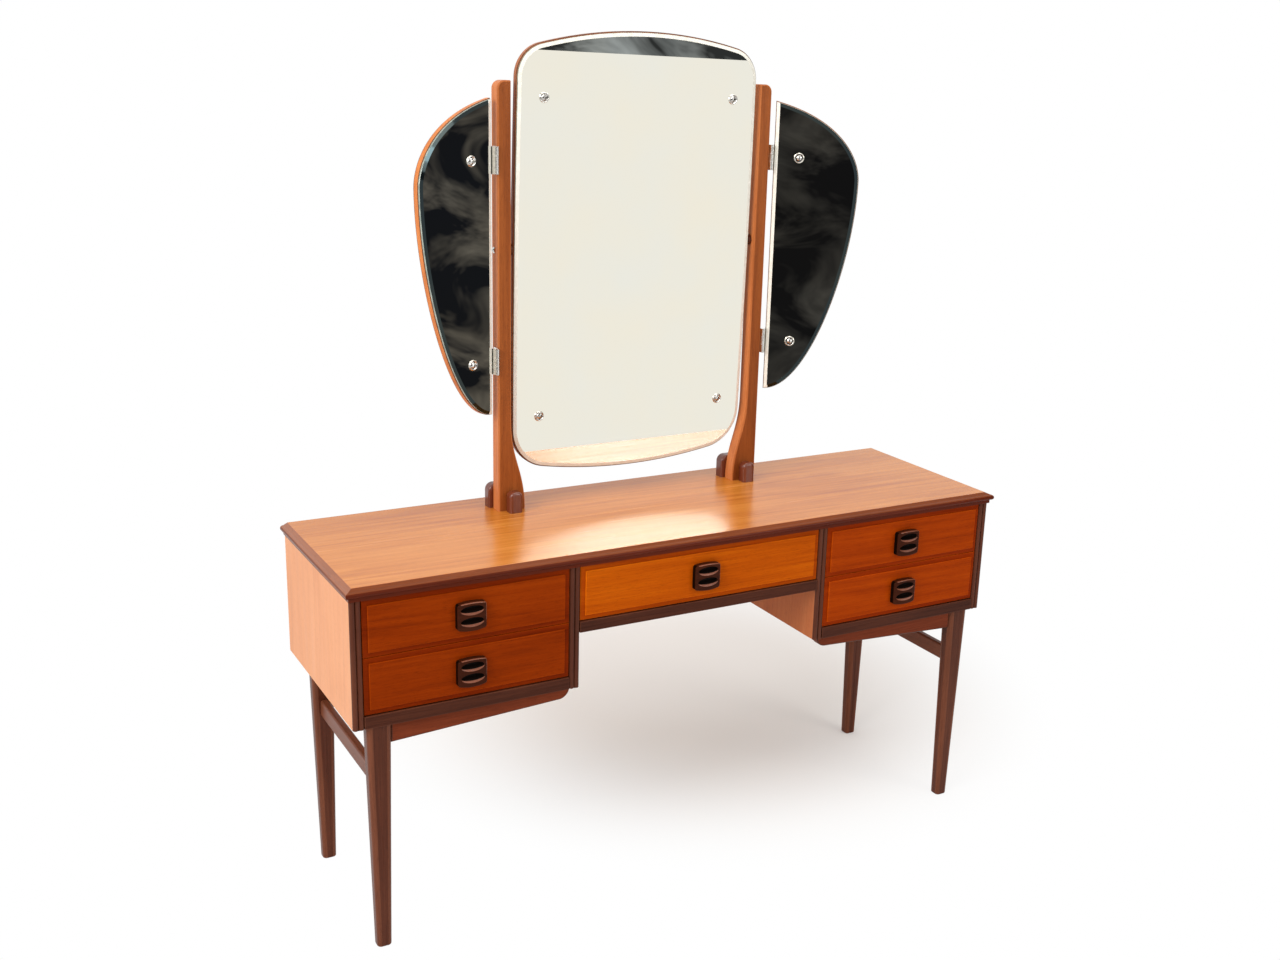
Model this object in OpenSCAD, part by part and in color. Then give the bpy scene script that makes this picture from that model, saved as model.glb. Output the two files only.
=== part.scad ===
// Dressing table with two drawer pedestals, a centre drawer over the knee space
// and a three-part mirror carried on two posts behind the top.
// X runs across the front, Y from front to back and Z up, in millimetres.
// The origin is on the floor, at the centre of the whole outline.

/* [Top] */
// Width of the top across its edge mouldings
top_w = 1405; // [1300:5:1500]
// Depth of the top from the nose of the front moulding to the plain back edge
top_d = 407; // [390:1:450]
// Height of the top surface above the floor
top_h = 700; // [660:5:760]
// Thickness of the top board and its mouldings
top_t = 23; // [20:0.5:28]
// Width of each edge moulding
moulding_w = 14.2; // [13:0.2:18]
// Radius of the rounded nose of the moulding
moulding_nose_r = 5.6; // [4:0.2:6]
// Depth of the nose centre below the top surface
moulding_nose_drop = 10; // [8:0.5:11]
// Width of the lower step of the moulding
moulding_step_w = 8; // [6.5:0.5:9]
// How far the nose of the moulding stands out from the carcass
top_overhang = 8.5; // [6:0.5:10]

/* [Carcass] */
// Height of the pedestals below the top board
pedestal_h = 237; // [225:1:280]
// Thickness of the end panels and of the partitions beside the knee space
panel_t = 20; // [16:0.5:24]
// Clear width of the knee space
knee_w = 527; // [450:1:580]
// Thickness of the pedestal bottoms
bottom_t = 18; // [12:0.5:20]
// Height of the front rail below the lower drawers
bottom_rail_h = 24; // [20:0.5:30]
// Height of the front rail below the centre drawer
middle_rail_h = 22; // [18:0.5:28]
// Depth of the front rails from front to back
rail_d = 22; // [18:0.5:30]
// Thickness of the plywood backs
back_t = 6; // [4:0.5:9]
// Depth of the beaded lippings on the front edges of the upright panels
lipping_d = 6; // [5:0.5:9]
// Radius of each of the two beads on a lipping
bead_r = 5; // [3.5:0.25:5.5]

/* [Drawers] */
// Gap round each drawer front
drawer_gap = 1.3; // [0.8:0.1:2]
// Thickness of the drawer front behind its raised field
front_board_t = 18; // [14:0.5:20]
// How far the field stands out from its border
field_raise = 3; // [1.5:0.25:4]
// Width of the border round the field
border_w = 9.5; // [7:0.5:12]
// Free space between a drawer box and the back of the carcass
drawer_back_gap = 31.5; // [5:0.5:80]
// Height of the drawer sides
drawer_side_h = 84; // [76:1:88]
// Thickness of the drawer sides and back
drawer_side_t = 12; // [10:0.5:14]
// Thickness of the drawer bottom
drawer_bottom_t = 4; // [3:0.5:5]
// Depth of the grooves that hold the drawer bottom
bottom_groove_d = 4; // [3:0.25:4.5]
// Height of the drawer bottom above the lower edge of the sides
drawer_bottom_up = 8; // [5:0.5:12]
// Height of the lower edge of the sides above the lower edge of the front
drawer_side_up = 4; // [3:0.5:8]
// Gap between the drawer sides and the carcass
drawer_side_gap = 1.5; // [1:0.1:2.5]
// Height of the side runners
runner_h = 16; // [12:0.5:20]
// Height of the runner centre above the lower edge of the drawer sides
runner_up = 50; // [38:1:58]
// Depth of the runner groove in a drawer side
runner_groove_d = 7; // [5:0.25:7.5]
// Running gap between a runner and its groove
running_gap = 0.3; // [0.2:0.05:0.5]

/* [Handles] */
// Width of a handle
handle_w = 55; // [50:1:70]
// Height of a handle at its middle
handle_h = 56; // [54:1:66]
// How far the upper and lower edges of a handle bow outward
handle_bow = 3; // [1:0.25:4]
// How far the middle of a handle stands out from the drawer front
handle_proud = 14; // [13:0.5:20]
// How much less its two ends stand out
handle_round = 2.5; // [1:0.25:3]
// Distance of the handle centre below the centre of the drawer front
handle_drop = 3.5; // [0:0.5:8]
// Width of a finger scoop
scoop_w = 44; // [36:1:46]
// Height of a finger scoop
scoop_h = 16; // [13:0.5:17]
// Depth of a finger scoop
scoop_d = 10.5; // [8:0.5:11]
// Distance from the handle centre up to the flat roof of the upper scoop
scoop_top = 21.5; // [19:0.5:22]
// Distance between the roofs of the two scoops
scoop_pitch = 22.5; // [20:0.5:24]

/* [Legs and arms] */
// Width of a leg at the top
leg_top_w = 45; // [40:1:52]
// Depth of a leg at the top
leg_top_d = 32; // [28:1:40]
// Corner radius of a leg at the top
leg_top_r = 8; // [4:0.5:10]
// Width of a leg at the floor
foot_w = 27; // [22:1:34]
// Depth of a leg at the floor
foot_d = 25; // [20:1:28]
// Corner radius of a leg at the floor
foot_r = 6; // [3:0.5:8]
// Inset of the legs from the ends of the carcass
leg_side_inset = 25.5; // [10:0.5:40]
// Inset of the front legs from the carcass front
leg_front_inset = 4; // [0:0.5:15]
// Inset of the back legs from the carcass back
leg_back_inset = 24.5; // [5:0.5:40]
// Thickness of the arms under the pedestals
arm_t = 20; // [15:0.5:22]
// Height of an arm where it meets its leg
arm_leg_h = 38; // [30:1:50]
// Height of an arm before its rounded inner end
arm_end_h = 22; // [16:0.5:26]
// Distance from the inner end of an arm to the knee space
arm_end_inset = 15; // [5:0.5:40]
// Thickness of the side stretchers
stretcher_t = 16; // [12:0.5:20]
// Height of the side stretchers
stretcher_h = 34; // [26:1:44]
// Height of the stretcher centre above the floor
stretcher_z = 331; // [200:1:380]

/* [Mirror posts] */
// Height of the posts above the table top
post_h = 817; // [780:1:860]
// Distance between the outer faces of the posts
post_span = 594; // [585:1:620]
// Width of a post above its flared base
post_w = 27; // [24:0.5:30]
// Width of a post where it meets the top
post_base_w = 56; // [46:1:66]
// Height of the flared base
post_flare_h = 180; // [140:5:240]
// How far the flare keeps upright at both of its ends
post_flare_ease = 80; // [50:1:90]
// Depth of a post from front to back
post_d = 30; // [26:0.5:36]
// Distance from the post backs to the back edge of the top
post_back_inset = 72; // [60:0.5:85]
// Radius of the outer top corner of a post
post_corner_r = 15; // [8:0.5:20]
// Width of the block in front of each post
front_block_w = 27; // [22:0.5:34]
// Depth of the front blocks
front_block_d = 24; // [18:0.5:32]
// Height of the front blocks
front_block_h = 42; // [34:1:52]
// Corner radius of the front blocks
front_block_r = 9; // [5:0.5:9.5]
// How far the block behind each post stands out on both sides of it
back_block_side = 8.5; // [5:0.5:13]
// Depth of the back blocks
back_block_d = 25; // [20:0.5:32]
// Height of the back blocks
back_block_h = 48; // [40:1:60]
// Corner radius of the back blocks
back_block_r = 15; // [8:0.5:18]

/* [Main mirror] */
// Height of the pivots above the table top
pivot_h = 509; // [500:1:520]
// Distance of the pivots behind the front faces of the posts
pivot_inset = 19.5; // [12:0.5:19.5]
// Forward tilt of the mirror at rest
mirror_tilt = 1.6; // [0:0.1:4]
// Width of the glass at its upper corners
glass_top_w = 514; // [490:1:520]
// Width of the glass at its lower corners
glass_bottom_w = 518; // [490:1:520]
// How far each side of the glass bows outward
glass_side_bow = 2; // [0.5:0.1:3]
// Height of the glass above the pivots
glass_up = 398.5; // [380:1:420]
// Height of the glass below the pivots
glass_down = 448.5; // [430:1:455]
// Radius of the crown of the glass
crown_r = 890; // [700:5:1400]
// Radius of the upper corners of the glass
crown_corner_r = 61; // [40:1:80]
// Radius of the sagging lower edge of the glass
sag_r = 1092; // [800:5:1600]
// Radius of the lower corners of the glass
sag_corner_r = 81; // [50:1:100]
// Thickness of all three glasses
glass_t = 5; // [4:0.5:6]
// Width of the bevel round a glass
bevel_w = 7; // [4:0.5:12]
// Depth of the bevel at the rim of a glass
bevel_drop = 1.6; // [0.8:0.1:2.5]
// Thickness of the boards behind the glasses
board_t = 13; // [11:0.5:16]
// Distance of the back of the main board behind the pivots
board_back = 5; // [4:0.25:7]
// Margin of the main board beyond its glass
board_margin = 2.5; // [1:0.25:3]
// Distance of the main glass screws from the centre line
screw_side = 204.5; // [180:0.5:215]
// Height of the upper main glass screws above the pivots
screw_up = 279; // [240:1:300]
// Depth of the lower main glass screws below the pivots
screw_down = 328; // [280:1:345]

/* [Wing mirrors] */
// Depth of the top of the wings below the top of the posts
wing_top_drop = 33; // [20:1:60]
// Width of a wing glass at its shoulder
wing_w = 171; // [150:1:190]
// Height of a wing glass along its hinged edge
wing_h = 587; // [560:1:620]
// Depth of the shoulder below the top of the wing
wing_shoulder = 154; // [130:1:180]
// How far out the upper edge keeps its slope before it turns down
wing_top_reach = 133; // [100:1:145]
// How far the upper edge has fallen there
wing_top_fall = 33; // [20:1:50]
// How far above the shoulder the outer edge starts to turn inward
wing_shoulder_ease = 46; // [30:1:70]
// How far below the shoulder the outer edge keeps its direction
wing_side_ease = 176; // [120:1:220]
// How far out the lower edge runs level from its hinged corner
wing_foot_reach = 90; // [60:1:110]
// Margin of the wing boards beyond their glasses
wing_margin = 1.25; // [0.5:0.25:2.5]
// Fold of the left wing at rest, forward from the plane of the posts
wing_fold_left = 20; // [0:1:60]
// Fold of the right wing at rest, forward from the plane of the posts
wing_fold_right = 35; // [0:1:60]
// Distance from the wing top to the centre of the upper hinge and screw
wing_fix_top = 109; // [90:1:130]
// Distance from the wing top to the centre of the lower hinge and screw
wing_fix_bottom = 484; // [450:1:500]
// Distance of the wing screws from the hinged edge of the glass
wing_screw_in = 50; // [35:0.5:60]

/* [Hinges and fixings] */
// Height of a hinge
hinge_h = 50; // [40:1:65]
// Outer radius of the hinge knuckles
knuckle_r = 3.5; // [3:0.1:4.5]
// Radius of the hinge pins
hinge_pin_r = 1.5; // [1.2:0.05:1.8]
// Running clearance round a pin or a pivot bolt
pin_clearance = 0.05; // [0.02:0.01:0.08]
// Thickness of the hinge leaves
leaf_t = 1.4; // [1:0.1:1.8]
// Width of a hinge leaf, back from its pin
leaf_w = 25; // [22:0.5:27]
// Distance of the hinge pins in front of the posts
hinge_front = 5; // [4:0.25:7]
// Distance of the wing glasses behind their hinge pins
wing_back = 9; // [7:0.5:11]
// Radius of the spacer discs at the pivots
spacer_r = 10.5; // [8:0.5:12]
// Radius of the pivot bolts
bolt_r = 3; // [2.5:0.25:3.5]
// Radius of the pivot bolt heads
bolt_head_r = 6; // [5:0.5:8]
// Height of the pivot bolt heads
bolt_head_h = 2.8; // [2:0.2:3]
// Length of a pivot bolt inside the mirror board
bolt_grip = 24; // [18:1:35]
// Radius of the domed screw caps on the glasses
cap_r = 10.5; // [8:0.5:12]
// Height of the domed screw caps
cap_h = 4.5; // [3:0.25:6]
// Radius of the screws in the boards
screw_r = 2; // [1.5:0.25:2.4]
// Length of a screw inside its board
screw_grip = 9; // [7:0.5:10]

/* [Hidden] */
$fn = 48;

// Finishes
top_teak = [0.86, 0.62, 0.42];
panel_teak = [0.80, 0.56, 0.36];
front_teak = [0.70, 0.33, 0.08];
post_teak = [0.62, 0.34, 0.16];
dark_wood = [0.32, 0.18, 0.11];
pale_wood = [0.85, 0.74, 0.56];
board_wood = [0.60, 0.38, 0.22];
silvered = [0.80, 0.84, 0.86];
nickel = [0.76, 0.74, 0.70];
chromed = [0.78, 0.78, 0.80];

// Levels and planes of the table
handle_reach = max(0, handle_proud - top_overhang);
depth_all = top_d + handle_reach;
back_y = depth_all / 2;
nose_y = back_y - top_d;
front_y = nose_y + top_overhang;
carcass_half = top_w / 2 - top_overhang;
under_z = top_h - top_t;
base_z = under_z - pedestal_h;
pedestal_in = knee_w / 2 + panel_t;
pedestal_out = carcass_half - panel_t;
pedestal_w = pedestal_out - pedestal_in;
pedestal_x = (pedestal_in + pedestal_out) / 2;

// Drawer fronts, from the rail up to the top board
front_h = (under_z - base_z - bottom_rail_h - 3 * drawer_gap) / 2;
lower_z = base_z + bottom_rail_h + drawer_gap;
upper_z = lower_z + front_h + drawer_gap;
middle_rail_z = upper_z - drawer_gap - middle_rail_h;
box_y = front_y + field_raise + front_board_t;
back_face_y = back_y - back_t;
drawer_box_l = back_face_y - box_y - drawer_back_gap;
runner_reach = drawer_side_gap + runner_groove_d - running_gap;

// Legs
leg_x = carcass_half - leg_side_inset - leg_top_w / 2;
leg_front_y = front_y + leg_front_inset + leg_top_d / 2;
leg_back_y = back_y - leg_back_inset - leg_top_d / 2;

// Posts and mirror
post_out = post_span / 2;
post_in = post_out - post_w;
post_base_x = post_out - post_base_w / 2;
post_back_y = back_y - post_back_inset;
post_front_y = post_back_y - post_d;
post_top_z = top_h + post_h;
pivot_y = post_front_y + pivot_inset;
pivot_z = top_h + pivot_h;
wing_top_z = post_top_z - wing_top_drop;
hinge_x = post_out + knuckle_r;
hinge_y = post_front_y - hinge_front;
knuckle_h = hinge_h / 3;
knuckle_gap = 0.3;
glass_gap = 0.5;
curve_steps = 20;
cut = 1;

function arc_points(cx, cy, r, from, to, steps) = [
  for (i = [0:steps])
    let (a = from + (to - from) * i / steps)
      [cx + r * cos(a), cy + r * sin(a)]
];

function bezier_points(a, b, c, d, steps) = [
  for (i = [0:steps])
    let (t = i / steps, s = 1 - t)
      s * s * s * a + 3 * s * s * t * b + 3 * s * t * t * c + t * t * t * d
];

// A rectangle centred on the origin with rounded corners
function rounded_rect(w, d, r) = concat(
  arc_points(w / 2 - r, d / 2 - r, r, 0, 90, 8),
  arc_points(r - w / 2, d / 2 - r, r, 90, 180, 8),
  arc_points(r - w / 2, r - d / 2, r, 180, 270, 8),
  arc_points(w / 2 - r, r - d / 2, r, 270, 360, 8)
);

// A block seen from the front, standing on zero, with rounded top corners
function arched(w, h, r) = concat(
  [[-w / 2, 0], [w / 2, 0]],
  arc_points(w / 2 - r, h - r, r, 0, 90, 10),
  arc_points(r - w / 2, h - r, r, 90, 180, 10)
);

// Half of a rounded end, from the centre line round to the side: a shallow arc
// that runs into a corner arc
function end_corner_z(half_w, rise, big_r, corner_r) =
  rise - big_r + sqrt(pow(big_r - corner_r, 2) - pow(half_w - corner_r, 2));

function rounded_end(half_w, rise, big_r, corner_r) =
  let (
    corner_x = half_w - corner_r,
    corner_z = end_corner_z(half_w, rise, big_r, corner_r),
    turn = atan2(corner_z - rise + big_r, corner_x)
  )
  concat(
    arc_points(0, rise - big_r, big_r, 90, turn, curve_steps),
    arc_points(corner_x, corner_z, corner_r, turn, 0, curve_steps)
  );

// The main glass, seen from the front with the pivots at zero height
upper_end = rounded_end(glass_top_w / 2, glass_up, crown_r, crown_corner_r);
lower_end = rounded_end(glass_bottom_w / 2, glass_down, sag_r, sag_corner_r);
side_top_z = end_corner_z(glass_top_w / 2, glass_up, crown_r, crown_corner_r);
side_low_z = -end_corner_z(glass_bottom_w / 2, glass_down, sag_r, sag_corner_r);

// Half width of the glass between its corners
function side_half(z) =
  let (t = (z - side_low_z) / (side_top_z - side_low_z))
    (glass_bottom_w + (glass_top_w - glass_bottom_w) * t) / 2 + 4 * glass_side_bow * t * (1 - t);

function side_points() = [
  for (i = [1:curve_steps - 1])
    let (z = side_low_z + (side_top_z - side_low_z) * i / curve_steps)
      [side_half(z), z]
];

right_half = concat(
  [for (p = lower_end) [p[0], -p[1]]],
  side_points(),
  [for (i = [len(upper_end) - 1:-1:0]) upper_end[i]]
);

main_outline = concat(
  right_half,
  [for (i = [len(right_half) - 2:-1:1]) [-right_half[i][0], right_half[i][1]]]
);

// A wing glass, seen from the front, out from its hinged edge and down from its top
wing_outline = concat(
  bezier_points(
    [0, -wing_h],
    [wing_foot_reach, -wing_h],
    [wing_w, -wing_shoulder - wing_side_ease],
    [wing_w, -wing_shoulder],
    2 * curve_steps
  ),
  [
    for (i = [1:2 * curve_steps])
      bezier_points(
        [wing_w, -wing_shoulder],
        [wing_w, wing_shoulder_ease - wing_shoulder],
        [wing_top_reach, -wing_top_fall],
        [0, 0],
        2 * curve_steps
      )[i]
  ]
);

// An outline made larger by g all round, or smaller where g is below zero
function grown(points, g, x0, x1, z0, z1) = [
  for (p = points)
    [
      x0 - g + (p[0] - x0) * (x1 - x0 + 2 * g) / (x1 - x0),
      z0 - g + (p[1] - z0) * (z1 - z0 + 2 * g) / (z1 - z0)
    ]
];

function main_grown(g) =
  grown(main_outline, g, -glass_bottom_w / 2, glass_bottom_w / 2, -glass_down, glass_up);

function wing_grown(g) = grown(wing_outline, g, 0, wing_w, -wing_h, 0);

// Size of a leg at a height above the floor
function leg_half_w(z) = (foot_w + (leg_top_w - foot_w) * z / base_z) / 2;
function leg_half_d(z) = (foot_d + (leg_top_d - foot_d) * z / base_z) / 2;

// Radius of a finger scoop along its length, and the distance of its axis in
// front of the handle
scoop_axis = (scoop_h * scoop_h - scoop_d * scoop_d) / (2 * scoop_d);
scoop_mid_r = scoop_axis + scoop_d;
scoop_end = scoop_w / 2;
scoop_dip = (pow(scoop_end, 2) + pow(scoop_axis, 2) - pow(scoop_mid_r, 2)) /
  (2 * (scoop_mid_r - scoop_axis));
scoop_arc_r = scoop_dip + scoop_mid_r;

function scoop_radius(x) = sqrt(pow(scoop_arc_r, 2) - x * x) - scoop_dip;

// Places a child on both sides, the second one mirrored
module both_sides() {
  children();
  mirror([1, 0, 0]) children();
}

// Stands a drawing up to face the front, with its thickness running forward
module facing_front(t) {
  rotate([90, 0, 0]) linear_extrude(t) children();
}

module moulding_profile() {
  nose_z = top_t - moulding_nose_drop;
  nose_x = moulding_w - moulding_nose_r;
  translate([nose_x, nose_z]) circle(r = moulding_nose_r);
  polygon([
    [0, 0],
    [moulding_step_w, 0],
    [moulding_step_w, nose_z],
    [nose_x, nose_z],
    [nose_x, nose_z + moulding_nose_r],
    [0, top_t]
  ]);
}

module top_panel() {
  half = top_w / 2 - moulding_w;
  color(top_teak)
    translate([-half, nose_y + moulding_w, under_z])
      cube([2 * half, top_d - moulding_w, top_t]);
}

module moulding_front() {
  color(dark_wood)
    intersection() {
      translate([-top_w / 2, nose_y + moulding_w, under_z])
        mirror([0, 1, 0])
          rotate([90, 0, 90]) linear_extrude(top_w) moulding_profile();
      translate([0, 0, under_z - cut])
        linear_extrude(top_t + 2 * cut)
          polygon([
            [-top_w / 2, nose_y],
            [top_w / 2, nose_y],
            [top_w / 2 - moulding_w, nose_y + moulding_w],
            [moulding_w - top_w / 2, nose_y + moulding_w]
          ]);
    }
}

module moulding_right() {
  color(dark_wood)
    intersection() {
      translate([top_w / 2 - moulding_w, back_y, under_z])
        rotate([90, 0, 0]) linear_extrude(top_d) moulding_profile();
      translate([0, 0, under_z - cut])
        linear_extrude(top_t + 2 * cut)
          polygon([
            [top_w / 2, nose_y],
            [top_w / 2, back_y],
            [top_w / 2 - moulding_w, back_y],
            [top_w / 2 - moulding_w, nose_y + moulding_w]
          ]);
    }
}

module moulding_left() {
  mirror([1, 0, 0]) moulding_right();
}

// An upright panel whose inner face is at x
module upright(x) {
  translate([x, front_y + lipping_d, base_z])
    cube([panel_t, back_y - front_y - lipping_d, pedestal_h]);
}

module side_right() {
  color(panel_teak) upright(pedestal_out);
}

module side_left() {
  mirror([1, 0, 0]) side_right();
}

module partition_right() {
  color(panel_teak) upright(knee_w / 2);
}

module partition_left() {
  mirror([1, 0, 0]) partition_right();
}

// A lipping with two round beads, on the front edge of the panel at x
module lipping(x) {
  translate([x, front_y, base_z])
    linear_extrude(pedestal_h)
      intersection() {
        square([panel_t, lipping_d]);
        union() {
          translate([0, bead_r]) square([panel_t, lipping_d]);
          translate([panel_t / 2 - bead_r, bead_r]) circle(r = bead_r);
          translate([panel_t / 2 + bead_r, bead_r]) circle(r = bead_r);
        }
      }
}

module front_lippings() {
  color(dark_wood)
    both_sides() {
      lipping(knee_w / 2);
      lipping(pedestal_out);
    }
}

module bottom_right() {
  color(pale_wood)
    translate([pedestal_in, front_y + rail_d, base_z])
      cube([pedestal_w, back_face_y - front_y - rail_d, bottom_t]);
}

module bottom_left() {
  mirror([1, 0, 0]) bottom_right();
}

module bottom_rail_right() {
  color(dark_wood)
    translate([pedestal_in, front_y, base_z])
      cube([pedestal_w, rail_d, bottom_rail_h]);
}

module bottom_rail_left() {
  mirror([1, 0, 0]) bottom_rail_right();
}

module middle_rail() {
  color(dark_wood)
    translate([-knee_w / 2, front_y, middle_rail_z])
      cube([knee_w, rail_d, middle_rail_h]);
}

module back_panels() {
  color(pale_wood) {
    both_sides()
      translate([pedestal_in, back_face_y, base_z])
        cube([pedestal_w, back_t, pedestal_h]);
    translate([-knee_w / 2, back_face_y, middle_rail_z])
      cube([knee_w, back_t, under_z - middle_rail_z]);
  }
}

// A runner on the face at x, reaching out towards the drawer by the sign given
module runner(x, z, way) {
  start = box_y + running_gap;
  translate([way > 0 ? x : x - runner_reach, start, z + drawer_side_up + runner_up - runner_h / 2])
    cube([runner_reach, back_face_y - start, runner_h]);
}

module drawer_runners() {
  color(pale_wood)
    both_sides() {
      for (z = [lower_z, upper_z]) {
        runner(pedestal_in, z, 1);
        runner(pedestal_out, z, -1);
      }
      runner(knee_w / 2, upper_z, -1);
    }
}

// A leg that widens evenly from its foot to its top
module leg(x, y) {
  foot = rounded_rect(foot_w, foot_d, foot_r);
  head = rounded_rect(leg_top_w, leg_top_d, leg_top_r);
  n = len(foot);
  color(dark_wood)
    translate([x, y, 0])
      polyhedron(
        points = concat([for (p = foot) [p[0], p[1], 0]], [for (p = head) [p[0], p[1], base_z]]),
        faces = concat(
          [[for (i = [0:n - 1]) i], [for (i = [n - 1:-1:0]) n + i]],
          [for (i = [0:n - 1]) [i, n + i, n + (i + 1) % n]],
          [for (i = [0:n - 1]) [i, n + (i + 1) % n, (i + 1) % n]]
        )
      );
}

module leg_front_right() {
  leg(leg_x, leg_front_y);
}

module leg_front_left() {
  leg(-leg_x, leg_front_y);
}

module leg_back_right() {
  leg(leg_x, leg_back_y);
}

module leg_back_left() {
  leg(-leg_x, leg_back_y);
}

// An arm that carries a pedestal, from the inner face of its leg to a rounded end
module arm(y) {
  end_x = knee_w / 2 + arm_end_inset;
  low_z = base_z - arm_leg_h;
  color(dark_wood)
    translate([0, y + arm_t / 2, 0])
      facing_front(arm_t)
        polygon(concat(
          [[leg_x - leg_half_w(base_z), base_z]],
          arc_points(end_x + arm_end_h, base_z, arm_end_h, 180, 270, 12),
          [[leg_x - leg_half_w(low_z), low_z]]
        ));
}

module arm_front_right() {
  arm(leg_front_y);
}

module arm_front_left() {
  mirror([1, 0, 0]) arm_front_right();
}

module arm_back_right() {
  arm(leg_back_y);
}

module arm_back_left() {
  mirror([1, 0, 0]) arm_back_right();
}

module stretcher_right() {
  top_z = stretcher_z + stretcher_h / 2;
  low_z = stretcher_z - stretcher_h / 2;
  color(dark_wood)
    translate([leg_x - stretcher_t / 2, 0, 0])
      rotate([90, 0, 90])
        linear_extrude(stretcher_t)
          polygon([
            [leg_front_y + leg_half_d(low_z), low_z],
            [leg_back_y - leg_half_d(low_z), low_z],
            [leg_back_y - leg_half_d(top_z), top_z],
            [leg_front_y + leg_half_d(top_z), top_z]
          ]);
}

module stretcher_left() {
  mirror([1, 0, 0]) stretcher_right();
}

// A post with a straight outer side and a base that flares inward
module post_right() {
  base_in = post_out - post_base_w;
  flare_z = top_h + post_flare_h;
  color(post_teak)
    difference() {
      translate([0, post_back_y, 0])
        facing_front(post_d)
          polygon(concat(
            [[post_out, top_h]],
            arc_points(post_out - post_corner_r, post_top_z - post_corner_r, post_corner_r, 0, 90, 10),
            [[post_in, post_top_z]],
            bezier_points(
              [post_in, flare_z],
              [post_in, flare_z - post_flare_ease],
              [base_in, top_h + post_flare_ease],
              [base_in, top_h],
              curve_steps
            )
          ));
      translate([post_in - cut, pivot_y, pivot_z])
        rotate([0, 90, 0]) cylinder(r = bolt_r + pin_clearance, h = post_w + 2 * cut);
    }
}

module post_left() {
  mirror([1, 0, 0]) post_right();
}

module front_blocks() {
  color(dark_wood)
    both_sides()
      translate([post_base_x, post_front_y, top_h])
        facing_front(front_block_d)
          polygon(arched(front_block_w, front_block_h, front_block_r));
}

module back_blocks() {
  color(dark_wood)
    both_sides()
      translate([post_base_x, post_back_y + back_block_d, top_h])
        facing_front(back_block_d)
          polygon(arched(post_base_w + 2 * back_block_side, back_block_h, back_block_r));
}

// Heights of the hinge centres
hinge_levels = [wing_top_z - wing_fix_top, wing_top_z - wing_fix_bottom];

// The knuckle cylinder of one hinge about its pin, at one of the three places
module knuckle(place, grow, gap) {
  translate([0, 0, (place - 1.5) * knuckle_h + gap])
    cylinder(r = knuckle_r + grow, h = knuckle_h - 2 * gap);
}

// The two outer knuckles and the leaf that is screwed to the post
module post_leaf() {
  difference() {
    union() {
      translate([-knuckle_r, 0, -hinge_h / 2]) cube([leaf_t, leaf_w, hinge_h]);
      knuckle(0, 0, 0);
      knuckle(2, 0, 0);
    }
    knuckle(1, knuckle_gap, -knuckle_gap);
    translate([0, 0, -hinge_h / 2 - cut]) cylinder(r = hinge_pin_r, h = hinge_h + 2 * cut);
  }
}

// The middle knuckle and the leaf that is screwed to the edge of the wing
module wing_leaf() {
  difference() {
    union() {
      translate([knuckle_r - leaf_t, 0, -hinge_h / 2]) cube([leaf_t, leaf_w, hinge_h]);
      knuckle(1, 0, 0);
    }
    knuckle(0, knuckle_gap, -knuckle_gap);
    knuckle(2, knuckle_gap, -knuckle_gap);
    translate([0, 0, -hinge_h / 2 - cut])
      cylinder(r = hinge_pin_r + pin_clearance, h = hinge_h + 2 * cut);
  }
}

module hinge_leaves_posts() {
  color(nickel)
    both_sides()
      for (z = hinge_levels)
        translate([hinge_x, hinge_y, z]) post_leaf();
}

module hinge_pins() {
  color(nickel)
    both_sides()
      for (z = hinge_levels)
        translate([hinge_x, hinge_y, z - hinge_h / 2]) cylinder(r = hinge_pin_r, h = hinge_h);
}

// Places its children in the tilted frame of the main mirror, about the pivots
module at_mirror() {
  translate([0, pivot_y, pivot_z]) rotate([mirror_tilt, 0, 0]) children();
}

// A glass plate with a bevelled rim, lying on zero with its bright side up
module bevelled_glass(rim, field) {
  n = len(rim);
  polyhedron(
    points = concat(
      [for (p = rim) [p[0], p[1], 0]],
      [for (p = rim) [p[0], p[1], glass_t - bevel_drop]],
      [for (p = field) [p[0], p[1], glass_t]]
    ),
    faces = concat(
      [[for (i = [0:n - 1]) i], [for (i = [n - 1:-1:0]) 2 * n + i]],
      [for (k = [0, n], i = [0:n - 1]) [k + i, k + n + i, k + n + (i + 1) % n]],
      [for (k = [0, n], i = [0:n - 1]) [k + i, k + n + (i + 1) % n, k + (i + 1) % n]]
    )
  );
}

// A screw with a domed cap, pointing up out of the glass surface at zero
module glass_screw() {
  dome_r = (cap_r * cap_r + cap_h * cap_h) / (2 * cap_h);
  rim_angle = asin((dome_r - cap_h) / dome_r);
  rotate_extrude()
    polygon(concat(
      [[0, -glass_t - screw_grip], [screw_r, -glass_t - screw_grip], [screw_r, 0]],
      arc_points(0, cap_h - dome_r, dome_r, rim_angle, 90, 12)
    ));
}

// Places of the four main screws, across and up from the pivots
main_screws = [
  [-screw_side, screw_up],
  [screw_side, screw_up],
  [-screw_side, -screw_down],
  [screw_side, -screw_down]
];

// The pivots lie inside the thickness of the main board. Its half width is taken
// where it is widest beside the spacers.
board_face = board_t - board_back;
function board_side(z) = side_half(z) * (1 + 2 * board_margin / glass_bottom_w);
board_half = max(board_side(-spacer_r), board_side(spacer_r));

module mirror_board() {
  color(board_wood)
    at_mirror()
      difference() {
        translate([0, board_back, 0]) facing_front(board_t) polygon(main_grown(board_margin));
        for (p = main_screws)
          translate([p[0], screw_grip - board_face, p[1]])
            rotate([90, 0, 0]) cylinder(r = screw_r, h = screw_grip + cut);
        both_sides()
          translate([board_half - bolt_grip, 0, 0])
            rotate([0, 90, 0]) cylinder(r = bolt_r, h = bolt_grip + cut);
      }
}

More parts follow.
